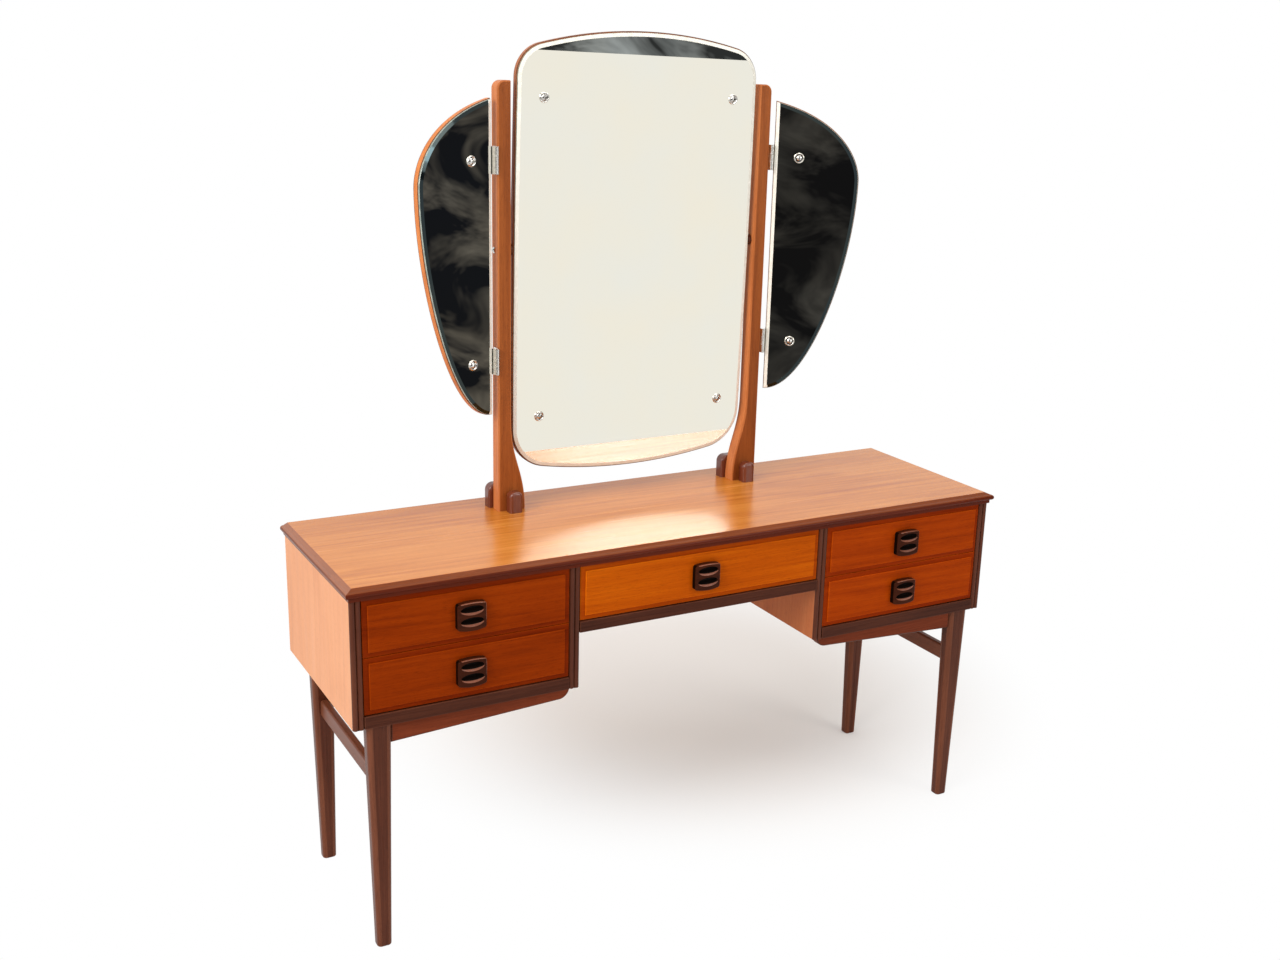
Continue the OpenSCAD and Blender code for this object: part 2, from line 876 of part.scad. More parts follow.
module mirror_glass() {
  color(silvered)
    at_mirror()
      translate([0, -board_face, 0])
        rotate([90, 0, 0])
          difference() {
            bevelled_glass(main_outline, main_grown(-bevel_w));
            for (p = main_screws)
              translate([p[0], p[1], -cut])
                cylinder(r = screw_r + glass_gap, h = glass_t + 2 * cut);
          }
}

module mirror_screws() {
  color(chromed)
    at_mirror()
      for (p = main_screws)
        translate([p[0], -board_face - glass_t, p[1]]) rotate([90, 0, 0]) glass_screw();
}

// The spacer fills the space between the board edge and the post, less a running gap
module pivot_spacers() {
  spacer_w = post_in - board_half - running_gap;
  color(dark_wood)
    at_mirror()
      both_sides()
        translate([board_half, 0, 0])
          rotate([0, 90, 0])
            difference() {
              cylinder(r = spacer_r, h = spacer_w);
              translate([0, 0, -cut]) cylinder(r = bolt_r, h = spacer_w + 2 * cut);
            }
}

module pivot_bolts() {
  shank_l = post_out + running_gap - board_half + bolt_grip;
  dome_r = (bolt_head_r * bolt_head_r + bolt_head_h * bolt_head_h) / (2 * bolt_head_h);
  rim_angle = asin((dome_r - bolt_head_h) / dome_r);
  color(chromed)
    at_mirror()
      both_sides()
        translate([post_out + running_gap, 0, 0])
          rotate([0, 90, 0])
            rotate_extrude()
              polygon(concat(
                [[0, -shank_l], [bolt_r, -shank_l], [bolt_r, 0]],
                arc_points(0, bolt_head_h - dome_r, dome_r, rim_angle, 90, 10)
              ));
}

// Places its children at the pin line and wing top of the right wing, folded forward
module at_wing(fold) {
  translate([hinge_x, hinge_y, wing_top_z]) rotate([0, 0, -fold]) children();
}

wing_screws = [[wing_screw_in, -wing_fix_top], [wing_screw_in, -wing_fix_bottom]];
wing_glass_x = knuckle_r + wing_margin;

module wing_board(fold) {
  board_y = wing_back + glass_t + board_t;
  color(board_wood)
    at_wing(fold)
      difference() {
        translate([wing_glass_x, board_y, 0])
          facing_front(board_t) polygon(wing_grown(wing_margin));
        for (p = wing_screws)
          translate([wing_glass_x + p[0], wing_back + glass_t + screw_grip, p[1]])
            rotate([90, 0, 0]) cylinder(r = screw_r, h = screw_grip + cut);
      }
}

module wing_glass(fold) {
  color(silvered)
    at_wing(fold)
      translate([wing_glass_x, wing_back + glass_t, 0])
        rotate([90, 0, 0])
          difference() {
            bevelled_glass(wing_outline, wing_grown(-bevel_w));
            for (p = wing_screws)
              translate([p[0], p[1], -cut])
                cylinder(r = screw_r + glass_gap, h = glass_t + 2 * cut);
          }
}

module wing_screw_pair(fold) {
  color(chromed)
    at_wing(fold)
      for (p = wing_screws)
        translate([wing_glass_x + p[0], wing_back, p[1]]) rotate([90, 0, 0]) glass_screw();
}

module wing_leaves(fold) {
  color(nickel)
    at_wing(fold)
      for (z = hinge_levels)
        translate([0, 0, z - wing_top_z]) wing_leaf();
}

module wing_board_right() {
  wing_board(wing_fold_right);
}

module wing_glass_right() {
  wing_glass(wing_fold_right);
}

module wing_screws_right() {
  wing_screw_pair(wing_fold_right);
}

module hinge_leaves_right() {
  wing_leaves(wing_fold_right);
}

module wing_board_left() {
  mirror([1, 0, 0]) wing_board(wing_fold_left);
}

module wing_glass_left() {
  mirror([1, 0, 0]) wing_glass(wing_fold_left);
}

module wing_screws_left() {
  mirror([1, 0, 0]) wing_screw_pair(wing_fold_left);
}

module hinge_leaves_left() {
  mirror([1, 0, 0]) wing_leaves(wing_fold_left);
}

// A drawer front: a board with a raised field, and a groove for the drawer bottom.
// Each drawer is placed by the centre and width of its opening and its lower edge.
module drawer_front(x, open_w, z) {
  w = open_w - 2 * drawer_gap;
  bottom_w = open_w - 2 * (drawer_side_gap + drawer_side_t - bottom_groove_d);
  color(front_teak)
    difference() {
      translate([x, front_y, z])
        union() {
          translate([-w / 2, field_raise, 0]) cube([w, front_board_t, front_h]);
          translate([border_w - w / 2, 0, border_w])
            cube([w - 2 * border_w, field_raise + cut, front_h - 2 * border_w]);
        }
      translate([x - bottom_w / 2, box_y - bottom_groove_d, z + drawer_side_up + drawer_bottom_up])
        cube([bottom_w, bottom_groove_d + cut, drawer_bottom_t]);
    }
}

// The drawer box: two grooved sides, the back and the bottom
module drawer_box(x, open_w, z) {
  half = open_w / 2 - drawer_side_gap;
  bottom_half = half - drawer_side_t + bottom_groove_d;
  bottom_z = drawer_bottom_up + drawer_bottom_t;
  color(pale_wood)
    translate([x, box_y, z + drawer_side_up]) {
      both_sides()
        difference() {
          translate([half - drawer_side_t, 0, 0]) cube([drawer_side_t, drawer_box_l, drawer_side_h]);
          translate([half - runner_groove_d, -cut, runner_up - runner_h / 2 - running_gap])
            cube([runner_groove_d + cut, drawer_box_l + 2 * cut, runner_h + 2 * running_gap]);
          translate([bottom_half - bottom_groove_d - cut, -cut, drawer_bottom_up])
            cube([bottom_groove_d + cut, drawer_box_l + 2 * cut, drawer_bottom_t]);
        }
      translate([-bottom_half, -bottom_groove_d, drawer_bottom_up])
        cube([2 * bottom_half, drawer_box_l + bottom_groove_d, drawer_bottom_t]);
      translate([drawer_side_t - half, drawer_box_l - drawer_side_t, bottom_z])
        cube([2 * (half - drawer_side_t), drawer_side_t, drawer_side_h - bottom_z]);
    }
}

// A handle seen from the front, bowed at its upper and lower edges
function handle_outline() =
  let (
    half = handle_w / 2,
    bow_r = (half * half + handle_bow * handle_bow) / (2 * handle_bow),
    swing = asin(half / bow_r),
    mid = handle_h / 2 - bow_r
  )
  concat(
    arc_points(0, mid, bow_r, 90 - swing, 90 + swing, 12),
    arc_points(0, -mid, bow_r, 270 - swing, 270 + swing, 12)
  );

// A finger scoop: a spindle along X whose upper half is left off, so that the
// scoop has a flat roof and a curved floor
module scoop() {
  steps = 8;
  reach = sqrt(pow(scoop_arc_r, 2) - pow(scoop_dip, 2));
  intersection() {
    rotate([0, 90, 0])
      rotate_extrude()
        polygon(concat(
          [[0, -reach]],
          [for (i = [1 - steps:steps - 1]) [scoop_radius(reach * i / steps), reach * i / steps]],
          [[0, reach]]
        ));
    translate([-reach - cut, -scoop_mid_r - cut, -scoop_mid_r - cut])
      cube([2 * (reach + cut), 2 * (scoop_mid_r + cut), scoop_mid_r + cut]);
  }
}

module handle(x, z) {
  half = handle_w / 2;
  round_r = (half * half + handle_round * handle_round) / (2 * handle_round);
  color(dark_wood)
    translate([x, front_y, z + front_h / 2 - handle_drop])
      difference() {
        intersection() {
          facing_front(handle_proud) polygon(handle_outline());
          translate([0, round_r - handle_proud, -handle_h]) cylinder(r = round_r, h = 2 * handle_h, $fn = 192);
        }
        for (roof = [scoop_top, scoop_top - scoop_pitch])
          translate([0, -handle_proud - scoop_axis, roof]) scoop();
      }
}

module drawer_front_left_upper() {
  drawer_front(-pedestal_x, pedestal_w, upper_z);
}

module drawer_box_left_upper() {
  drawer_box(-pedestal_x, pedestal_w, upper_z);
}

module handle_left_upper() {
  handle(-pedestal_x, upper_z);
}

module drawer_front_left_lower() {
  drawer_front(-pedestal_x, pedestal_w, lower_z);
}

module drawer_box_left_lower() {
  drawer_box(-pedestal_x, pedestal_w, lower_z);
}

module handle_left_lower() {
  handle(-pedestal_x, lower_z);
}

module drawer_front_right_upper() {
  drawer_front(pedestal_x, pedestal_w, upper_z);
}

module drawer_box_right_upper() {
  drawer_box(pedestal_x, pedestal_w, upper_z);
}

module handle_right_upper() {
  handle(pedestal_x, upper_z);
}

module drawer_front_right_lower() {
  drawer_front(pedestal_x, pedestal_w, lower_z);
}

module drawer_box_right_lower() {
  drawer_box(pedestal_x, pedestal_w, lower_z);
}

module handle_right_lower() {
  handle(pedestal_x, lower_z);
}

module drawer_front_middle() {
  drawer_front(0, knee_w, upper_z);
}

module drawer_box_middle() {
  drawer_box(0, knee_w, upper_z);
}

module handle_middle() {
  handle(0, upper_z);
}

top_panel();
moulding_front();
moulding_left();
moulding_right();
side_left();
side_right();
partition_left();
partition_right();
front_lippings();
bottom_left();
bottom_right();
bottom_rail_left();
bottom_rail_right();
middle_rail();
back_panels();
drawer_runners();
leg_front_left();
leg_front_right();
leg_back_left();
leg_back_right();
arm_front_left();
arm_front_right();
arm_back_left();
arm_back_right();
stretcher_left();
stretcher_right();
post_left();
post_right();
front_blocks();
back_blocks();
hinge_leaves_posts();
hinge_pins();
mirror_board();
mirror_glass();
mirror_screws();
pivot_spacers();
pivot_bolts();
wing_board_left();
wing_glass_left();
wing_screws_left();
hinge_leaves_left();
wing_board_right();
wing_glass_right();
wing_screws_right();
hinge_leaves_right();
drawer_front_left_upper();
drawer_box_left_upper();
handle_left_upper();
drawer_front_left_lower();
drawer_box_left_lower();
handle_left_lower();
drawer_front_right_upper();
drawer_box_right_upper();
handle_right_upper();
drawer_front_right_lower();
drawer_box_right_lower();
handle_right_lower();
drawer_front_middle();
drawer_box_middle();
handle_middle();
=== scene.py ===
import math

import bmesh
import bpy
from mathutils import Matrix, Vector


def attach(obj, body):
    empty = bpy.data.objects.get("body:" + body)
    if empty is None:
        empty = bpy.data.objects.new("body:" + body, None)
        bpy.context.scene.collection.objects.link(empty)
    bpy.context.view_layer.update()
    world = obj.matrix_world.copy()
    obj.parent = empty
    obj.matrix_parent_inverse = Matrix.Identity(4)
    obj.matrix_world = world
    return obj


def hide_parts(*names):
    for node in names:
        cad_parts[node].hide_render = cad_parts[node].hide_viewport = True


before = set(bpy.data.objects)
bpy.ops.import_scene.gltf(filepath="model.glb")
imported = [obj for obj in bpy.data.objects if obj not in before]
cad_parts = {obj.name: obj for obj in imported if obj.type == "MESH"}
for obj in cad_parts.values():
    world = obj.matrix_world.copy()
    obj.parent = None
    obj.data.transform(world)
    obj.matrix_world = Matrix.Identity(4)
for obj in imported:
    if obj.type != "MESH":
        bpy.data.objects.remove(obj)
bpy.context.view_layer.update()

scene = bpy.context.scene
scene.view_settings.view_transform = "Standard"
mm = 0.001
sides = ((-1, "left"), (1, "right"))
print("stage: frame loaded,", len(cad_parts), "nodes")


def tone(red, green, blue):
    # screen values from 0 to 255, as the linear colour that a shader takes
    def linear(value):
        value /= 255
        return value / 12.92 if value <= 0.04045 else ((value + 0.055) / 1.055) ** 2.4
    return (linear(red), linear(green), linear(blue), 1.0)


def newFinish(name):
    finish = bpy.data.materials.new(name)
    finish.use_nodes = True
    tree = finish.node_tree
    return finish, tree, tree.nodes["Principled BSDF"], tree.nodes.new("ShaderNodeTexCoord").outputs["Object"]


def fillSockets(tree, sockets, values):
    # a value is a number, a colour or another node's output
    for socket, value in zip(sockets, values):
        if isinstance(value, (int, float, tuple)):
            socket.default_value = value
        else:
            tree.links.new(value, socket)


def sumNode(tree, kind, *values):
    step = tree.nodes.new("ShaderNodeMath")
    step.operation = kind
    fillSockets(tree, step.inputs, values)
    return step.outputs[0]


def blendNode(tree, share, first, second):
    mix = tree.nodes.new("ShaderNodeMix")
    mix.data_type = "RGBA"
    fillSockets(tree, (mix.inputs[0], mix.inputs[6], mix.inputs[7]), (share, first, second))
    return mix.outputs[2]


def rangeNode(tree, value, low, high, toLow=0.0, toHigh=1.0, soft=False):
    step = tree.nodes.new("ShaderNodeMapRange")
    if soft:
        step.interpolation_type = "SMOOTHSTEP"
    sockets = [step.inputs[key] for key in ("Value", "From Min", "From Max", "To Min", "To Max")]
    fillSockets(tree, sockets, (value, low, high, toLow, toHigh))
    return step.outputs[0]


def cloudNode(tree, place, size, detail, warp=0.0):
    # noise whose cells are 1 / size metres, with its own size on each axis
    spread = tree.nodes.new("ShaderNodeVectorMath")
    spread.operation = "MULTIPLY"
    spread.inputs[1].default_value = size
    tree.links.new(place, spread.inputs[0])
    cloud = tree.nodes.new("ShaderNodeTexNoise")
    for key, value in (("Scale", 1.0), ("Detail", detail), ("Roughness", 0.58), ("Distortion", warp)):
        cloud.inputs[key].default_value = value
    tree.links.new(spread.outputs[0], cloud.inputs["Vector"])
    return cloud.outputs[0]


def tintBase(tree, shader, share, first, second):
    tree.links.new(blendNode(tree, share, first, second), shader.inputs["Base Color"])


def varyRoughness(tree, shader, cloud, low, high, smooth, rough):
    tree.links.new(rangeNode(tree, cloud, low, high, smooth, rough), shader.inputs["Roughness"])


def raiseGrain(tree, shader, height, strength, distance):
    bump = tree.nodes.new("ShaderNodeBump")
    bump.inputs["Strength"].default_value = strength
    bump.inputs["Distance"].default_value = distance
    tree.links.new(height, bump.inputs["Height"])
    tree.links.new(bump.outputs[0], shader.inputs["Normal"])


# kinds of fibre: how many to the metre across the grain, how much longer along it, the noise's detail and warp
fibreKinds = {
    "drift": (7, 8, 2, 0.0), "mottle": (9, 6, 4, 0.8), "streak": (110, 34, 5, 0.4), "fine": (560, 60, 2, 0.0),
    "figure": (22, 5, 2, 0.0), "pores": (1500, 22, 1, 0.0),
}
# how a trunk grows: its lean, how far its rings drift in metres, and how abruptly each one ends
growth = {"lean": 0.03, "drift": 0.05, "ringEnd": 1.35}


def woodFinish(name, look):
    finish, tree, shader, place = newFinish(name)
    along = "xyz".index(look["grain"])

    def fibres(kind):
        across, stretch, detail, warp = fibreKinds[kind]
        size = [across] * 3
        size[along] = across / stretch
        return cloudNode(tree, place, size, detail, warp)

    # rings round the heart of the tree, shown only in patches
    split = tree.nodes.new("ShaderNodeSeparateXYZ")
    tree.links.new(place, split.inputs[0])
    lean = sumNode(tree, "MULTIPLY", split.outputs[along], growth["lean"])
    squares = []
    for axis, centre in zip([i for i in range(3) if i != along], look["heart"]):
        offset = sumNode(tree, "SUBTRACT", split.outputs[axis], centre)
        offset = sumNode(tree, "ADD", offset, lean)
        squares.append(sumNode(tree, "MULTIPLY", offset, offset))
    reach = sumNode(tree, "SQRT", sumNode(tree, "ADD", *squares))
    drift = sumNode(tree, "MULTIPLY", fibres("drift"), growth["drift"])
    rings = sumNode(tree, "MULTIPLY", sumNode(tree, "ADD", reach, drift), look["rings"])
    rings = sumNode(tree, "FRACT", rings)
    rings = sumNode(tree, "PINGPONG", sumNode(tree, "MULTIPLY", rings, growth["ringEnd"]), 1.0)

    # three sizes of fibre shift the tone between deep and pale
    mottle, streak, fine = fibres("mottle"), fibres("streak"), fibres("fine")
    shown = rangeNode(tree, fibres("figure"), 0.38, 0.68, 0.0, look["figure"], soft=True)
    rings = sumNode(tree, "MULTIPLY", sumNode(tree, "SUBTRACT", rings, 0.5), shown)
    level = sumNode(tree, "ADD", rings, 0.5)
    for part, share in ((mottle, look["mottle"]), (streak, look["streak"]), (fine, look["fine"])):
        level = sumNode(tree, "MULTIPLY_ADD", sumNode(tree, "SUBTRACT", part, 0.5), share, level)
    ramp = tree.nodes.new("ShaderNodeValToRGB")
    deepEnd, paleEnd = ramp.color_ramp.elements
    deepEnd.position, deepEnd.color = 0.08, look["deep"]
    paleEnd.position, paleEnd.color = 0.92, look["pale"]
    ramp.color_ramp.elements.new(0.5).color = look["mid"]
    tree.links.new(level, ramp.inputs[0])

    pores = rangeNode(tree, fibres("pores"), 0.60, 0.70, 0.0, look["pores"])
    poreTone = tuple(0.5 * c for c in look["deep"][:3]) + (1.0,)
    tintBase(tree, shader, pores, ramp.outputs[0], poreTone)
    varyRoughness(tree, shader, streak, 0.3, 0.7, look["gloss"] - 0.05, look["gloss"] + 0.07)
    height = sumNode(tree, "SUBTRACT", sumNode(tree, "MULTIPLY", fine, 0.6), pores)
    raiseGrain(tree, shader, height, look["relief"], 0.0004)
    shader.inputs["Specular IOR Level"].default_value = look["shine"]
    return finish


def metalFinish(name, look):
    # plated metal with faint brushing and duller spots
    finish, tree, shader, place = newFinish(name)
    spots = cloudNode(tree, place, (160, 160, 160), 4)
    brushing = cloudNode(tree, place, (900, 900, 120), 2)
    tintBase(tree, shader, rangeNode(tree, spots, 0.35, 0.65), look["dull"], look["bright"])
    varyRoughness(tree, shader, brushing, 0.3, 0.7, look["gloss"], look["gloss"] + 0.08)
    raiseGrain(tree, shader, brushing, 0.02, 0.0002)
    shader.inputs["Metallic"].default_value = 1.0
    return finish


def silverFinish(name, look):
    # silvering seen through clear plate, with a faint uneven tint
    finish, tree, shader, place = newFinish(name)
    cloud = cloudNode(tree, place, (5, 5, 5), 3)
    haze = cloudNode(tree, place, (60, 60, 60), 3)
    tintBase(tree, shader, rangeNode(tree, cloud, 0.3, 0.7), look["warm"], look["cool"])
    varyRoughness(tree, shader, haze, 0.5, 0.8, look["gloss"], look["gloss"] + 0.02)
    shader.inputs["Metallic"].default_value = 1.0
    return finish


def glassEdgeFinish(name, look):
    # ground glass, its tone shifting unevenly between a dark and a light colour
    finish, tree, shader, place = newFinish(name)
    cloud = cloudNode(tree, place, (90, 90, 90), 3)
    tintBase(tree, shader, rangeNode(tree, cloud, 0.35, 0.65), look["dark"], look["light"])
    varyRoughness(tree, shader, cloud, 0.3, 0.7, 0.12, 0.3)
    shader.inputs["Specular IOR Level"].default_value = 0.8
    shader.inputs["Coat Weight"].default_value = 0.6
    return finish


def stained(look, pale, mid, deep, **changes):
    # a look in three other tones, given as screen values
    return {**look, "pale": tone(*pale), "mid": tone(*mid), "deep": tone(*deep), **changes}


# one look per wood; heart is the tree's middle on the two axes across the grain, in metres
topLook = {
    "grain": "x", "heart": (-0.75, 0.35), "rings": 45, "pale": tone(222, 146, 70), "mid": tone(205, 126, 50),
    "deep": tone(174, 92, 26), "mottle": 1.3, "figure": 0.28, "streak": 0.85, "fine": 0.3, "pores": 0.35,
    "gloss": 0.22, "shine": 0.34, "relief": 0.1,
}
panelLook = stained(
    topLook, (228, 166, 122), (218, 152, 108), (196, 124, 78), grain="z", heart=(-0.4, 0.9), rings=40,
    mottle=0.9, figure=0.15, streak=0.45, gloss=0.42, shine=0.2,
)
frontLook = {
    "grain": "x", "heart": (-0.5, 0.1), "rings": 60, "mottle": 0.9, "figure": 0.2, "streak": 0.6, "fine": 0.35,
    "pores": 0.4, "gloss": 0.42, "shine": 0.025, "relief": 0.1,
}
darkLook = {
    "grain": "z", "heart": (-0.3, -0.4), "rings": 80, "pale": tone(110, 62, 42), "mid": tone(84, 43, 28),
    "deep": tone(54, 27, 17), "mottle": 0.9, "figure": 0.15, "streak": 0.5, "fine": 0.3, "pores": 0.4,
    "gloss": 0.27, "shine": 0.12, "relief": 0.12,
}
wornLook = stained(darkLook, (134, 80, 56), (106, 60, 41), (74, 40, 27), gloss=0.32)
acrossLook = {**darkLook, "grain": "x"}
mouldLook = {**darkLook, "gloss": 0.2, "shine": 0.09, "streak": 0.35, "fine": 0.2, "mottle": 0.6}
postLook = stained(
    darkLook, (176, 98, 44), (142, 74, 30), (100, 46, 16), heart=(-0.9, 0.6), rings=50,
    mottle=0.95, streak=0.65, gloss=0.38,
)
paleLook = stained(
    darkLook, (228, 202, 152), (208, 178, 126), (172, 136, 88), grain="y", heart=(-0.4, 0.2), rings=55,
    mottle=0.6, figure=0.25, streak=0.4, gloss=0.55, pores=0.3,
)
backLook = stained(
    paleLook, (196, 148, 104), (172, 122, 82), (136, 90, 56), grain="z", heart=(-0.9, 0.9), rings=40,
    gloss=0.6, mottle=0.9,
)

woodLooks = {
    "topVeneer": topLook,
    "topEdge": stained(topLook, (222, 138, 84), (204, 118, 66), (170, 90, 46)),
    "panelVeneer": panelLook,
    "panelEdge": stained(panelLook, (200, 120, 70), (172, 96, 52), (136, 66, 34)),
    # the partitions' veneer is darker: a painted shade, as in the knee space
    "kneeVeneerPaintedShade": stained(panelLook, (190, 116, 70), (174, 97, 54), (142, 72, 36), shine=0.12),
    "mouldingAcross": stained(mouldLook, (112, 42, 16), (88, 30, 9), (58, 17, 4), grain="x"),
    "mouldingAlong": stained(mouldLook, (142, 84, 58), (116, 62, 40), (80, 40, 25), grain="y"),
    "mouldingSlopeAcross": stained(mouldLook, (146, 76, 40), (122, 60, 28), (86, 38, 16), grain="x"),
    "mouldingSlopeAlong": stained(mouldLook, (176, 106, 66), (152, 88, 52), (112, 60, 34), grain="y", shine=0.37),
    "darkWoodAcross": stained(acrossLook, (94, 50, 32), (70, 34, 21), (44, 20, 12), shine=0.09),
    "darkWoodAcrossWorn": stained(acrossLook, (112, 64, 44), (88, 47, 31), (60, 31, 20)),
    "armWood": stained(acrossLook, (142, 70, 42), (118, 53, 29), (80, 32, 16), shine=0.06),
    "darkWoodDeepWorn": {**wornLook, "grain": "y"},
    "darkWoodUpright": darkLook,
    "darkWoodUprightWorn": wornLook,
    "blockWood": stained(darkLook, (134, 70, 46), (106, 50, 32), (66, 28, 16), gloss=0.16, shine=0.6),
    "postTeak": postLook,
    "postTeakWorn": stained(postLook, (208, 132, 78), (178, 102, 54), (134, 68, 30)),
    # painted light for the posts' sides and top
    "postTeakSidePaintedLight": stained(postLook, (226, 148, 92), (202, 122, 70), (160, 84, 40)),
    "handleWood": stained(acrossLook, (76, 34, 16), (56, 23, 10), (34, 13, 5), gloss=0.34, shine=0.05),
    # a painted highlight for the handles' upper rims and scoop lips
    "handleWoodPaintedHighlight": stained(acrossLook, (150, 92, 66), (124, 70, 48), (84, 42, 26), gloss=0.24, shine=0.3),
    # a painted shade for the scoops and the handles' upright sides
    "handleScoopPaintedShade": stained(acrossLook, (26, 13, 8), (15, 8, 5), (8, 4, 3), gloss=0.4, shine=0.04),
    "mirrorBoard": stained(postLook, (190, 122, 82), (160, 96, 60), (120, 66, 40)),
    # the boards' rounded rims are darkened: a painted shade
    "mirrorBoardEdgePaintedShade": stained(postLook, (104, 70, 52), (80, 50, 37), (54, 32, 23)),
    "wingBoardEdge": stained(postLook, (232, 156, 96), (204, 124, 70), (160, 88, 44)),
    "paleHardwood": paleLook,
    "plywoodBack": backLook,
    "plywoodBottom": {**backLook, "grain": "x"},
}
woods = {name: woodFinish(name, look) for name, look in woodLooks.items()}
silver = silverFinish("silvering", {"warm": (0.86, 0.82, 0.70, 1), "cool": (0.83, 0.82, 0.74, 1), "gloss": 0.0})
silverShade = silverFinish(
    "silveringBevelShade", {"warm": (0.04, 0.05, 0.047, 1), "cool": (0.025, 0.035, 0.04, 1), "gloss": 0.05},
)
# the bevels get a near-white finish, a painted highlight; the dark bevel silvering above paints shade on the wings'
# outer bevels
bevelPaintedHighlight = glassEdgeFinish("bevelPaintedHighlight", {"dark": tone(232, 231, 220), "light": tone(244, 243, 234)})
glassEdge = glassEdgeFinish("glassEdge", {"dark": tone(118, 132, 124), "light": tone(160, 172, 163)})
nickel = metalFinish("nickelPlate", {"dull": tone(214, 211, 204), "bright": tone(236, 234, 228), "gloss": 0.2})
chrome = metalFinish("chromePlate", {"dull": tone(190, 186, 180), "bright": tone(228, 226, 222), "gloss": 0.1})
slotDark = metalFinish("slotShade", {"dull": tone(50, 44, 38), "bright": tone(84, 76, 66), "gloss": 0.4})
print("stage: finishes made,", len(bpy.data.materials), "materials")


def timber(*names):
    return [woods[name] for name in names]


def quarterTurn(steps):
    return [math.pi / 2 * k / steps for k in range(steps + 1)]


def arcPoints(cx, cy, radius, start, end, steps):
    turns = [math.radians(start + (end - start) * i / steps) for i in range(steps + 1)]
    return [(cx + radius * math.cos(a), cy + radius * math.sin(a)) for a in turns]


def curvePoints(a, b, c, d, steps):
    points = []
    for i in range(steps + 1):
        t = i / steps
        s = 1 - t
        points.append(tuple(s**3 * a[k] + 3 * s * s * t * b[k] + 3 * s * t * t * c[k] + t**3 * d[k] for k in (0, 1)))
    return points


def roundedRect(x0, x1, y0, y1, radius, steps):
    return (
        arcPoints(x1 - radius, y1 - radius, radius, 0, 90, steps)
        + arcPoints(x0 + radius, y1 - radius, radius, 90, 180, steps)
        + arcPoints(x0 + radius, y0 + radius, radius, 180, 270, steps)
        + arcPoints(x1 - radius, y0 + radius, radius, 270, 360, steps)
    )


def cleanOutline(points):
    # drops doubled points and runs the outline counter-clockwise
    apart = 0.02
    kept = []
    for p in points:
        if not kept or math.dist(p, kept[-1]) > apart:
            kept.append(p)
    if math.dist(kept[0], kept[-1]) < apart:
        kept.pop()
    area = sum(a[0] * b[1] - b[0] * a[1] for a, b in zip(kept, kept[1:] + kept[:1]))
    return kept if area > 0 else kept[::-1]


def insetOutline(points, amount):
    # moves each point of a closed outline inward, square to its two edges, and holds back at needle corners
    needle, slight, farthest = 0.6, 0.2, 10
    moved = []
    for i, (x, y) in enumerate(points):
        px, py = points[i - 1]
        nx, ny = points[(i + 1) % len(points)]
        before, after = math.hypot(x - px, y - py), math.hypot(nx - x, ny - y)
        mx = (py - y) / before + (y - ny) / after
        my = (x - px) / before + (nx - x) / after
        share = 2 * amount / max(mx * mx + my * my, needle)
        moved.append((x + mx * share, y + my * share))
    if amount <= slight:
        return moved
    # near a sharp corner the neighbours are pushed on until they clear the corner's other edge too
    count, reach = len(points), min(farthest, len(points) // 2)
    for i, (x, y) in enumerate(moved):
        for k in list(range(i - reach, i + reach)) * 2:
            (ax, ay), (bx, by) = points[k % count], points[(k + 1) % count]
            dx, dy = bx - ax, by - ay
            size = math.hypot(dx, dy)
            foot = ((x - ax) * dx + (y - ay) * dy) / size
            clear = (dx * (y - ay) - dy * (x - ax)) / size
            if -amount < clear < amount - 0.001 and 0 <= foot <= size:
                x, y = x - dy / size * (amount - clear), y + dx / size * (amount - clear)
        moved[i] = (x, y)
    return moved


def plateRings(outline, near, far, edges, steps):
    # sections of a plate from near to far, with its long edges rounded
    outline = cleanOutline(outline)
    rings, counts = [], []
    for level, ease, way in ((near, edges[0], 1), (far, edges[1], -1)):
        turns = quarterTurn(steps)[::way] if ease else [math.pi / 2]
        for a in turns:
            rings.append((insetOutline(outline, ease * (1 - math.sin(a))), level + way * ease * (1 - math.cos(a))))
        counts.append(len(turns))
    return rings, [1] * (counts[0] - 1) + [0] + [1] * (counts[1] - 1)


def loft(body, rings, tones=None, caps=(0, 0)):
    # skins closed rings of points, given in millimetres; tones and caps are material slots, a None cap stays open
    loops = [[body.verts.new(Vector(p) * mm) for p in ring] for ring in rings]
    count = len(loops[0])
    for k in range(len(loops) - 1):
        for i in range(count):
            j = (i + 1) % count
            face = body.faces.new((loops[k][i], loops[k][j], loops[k + 1][j], loops[k + 1][i]))
            face.material_index = tones[k] if tones else 0
    for loop, cap in ((loops[0][::-1], caps[0]), (loops[-1], caps[1])):
        if cap is not None:
            body.faces.new(loop).material_index = cap
    return loops


def latheRings(profile, steps):
    # profile holds (radius, height) pairs
    turns = [2 * math.pi * i / steps for i in range(steps)]
    return [[(r * math.cos(a), r * math.sin(a), h) for a in turns] for r, h in profile]


def joinInto(body, part):
    # adds one bmesh to another
    mesh = bpy.data.meshes.new("part")
    part.to_mesh(mesh)
    part.free()
    body.from_mesh(mesh)
    bpy.data.meshes.remove(mesh)


def settle(piece):
    # writes the modifiers into the mesh
    graph = bpy.context.evaluated_depsgraph_get()
    solid = bpy.data.meshes.new_from_object(piece.evaluated_get(graph))
    piece.modifiers.clear()
    piece.data = solid
    piece.data.name = piece.name


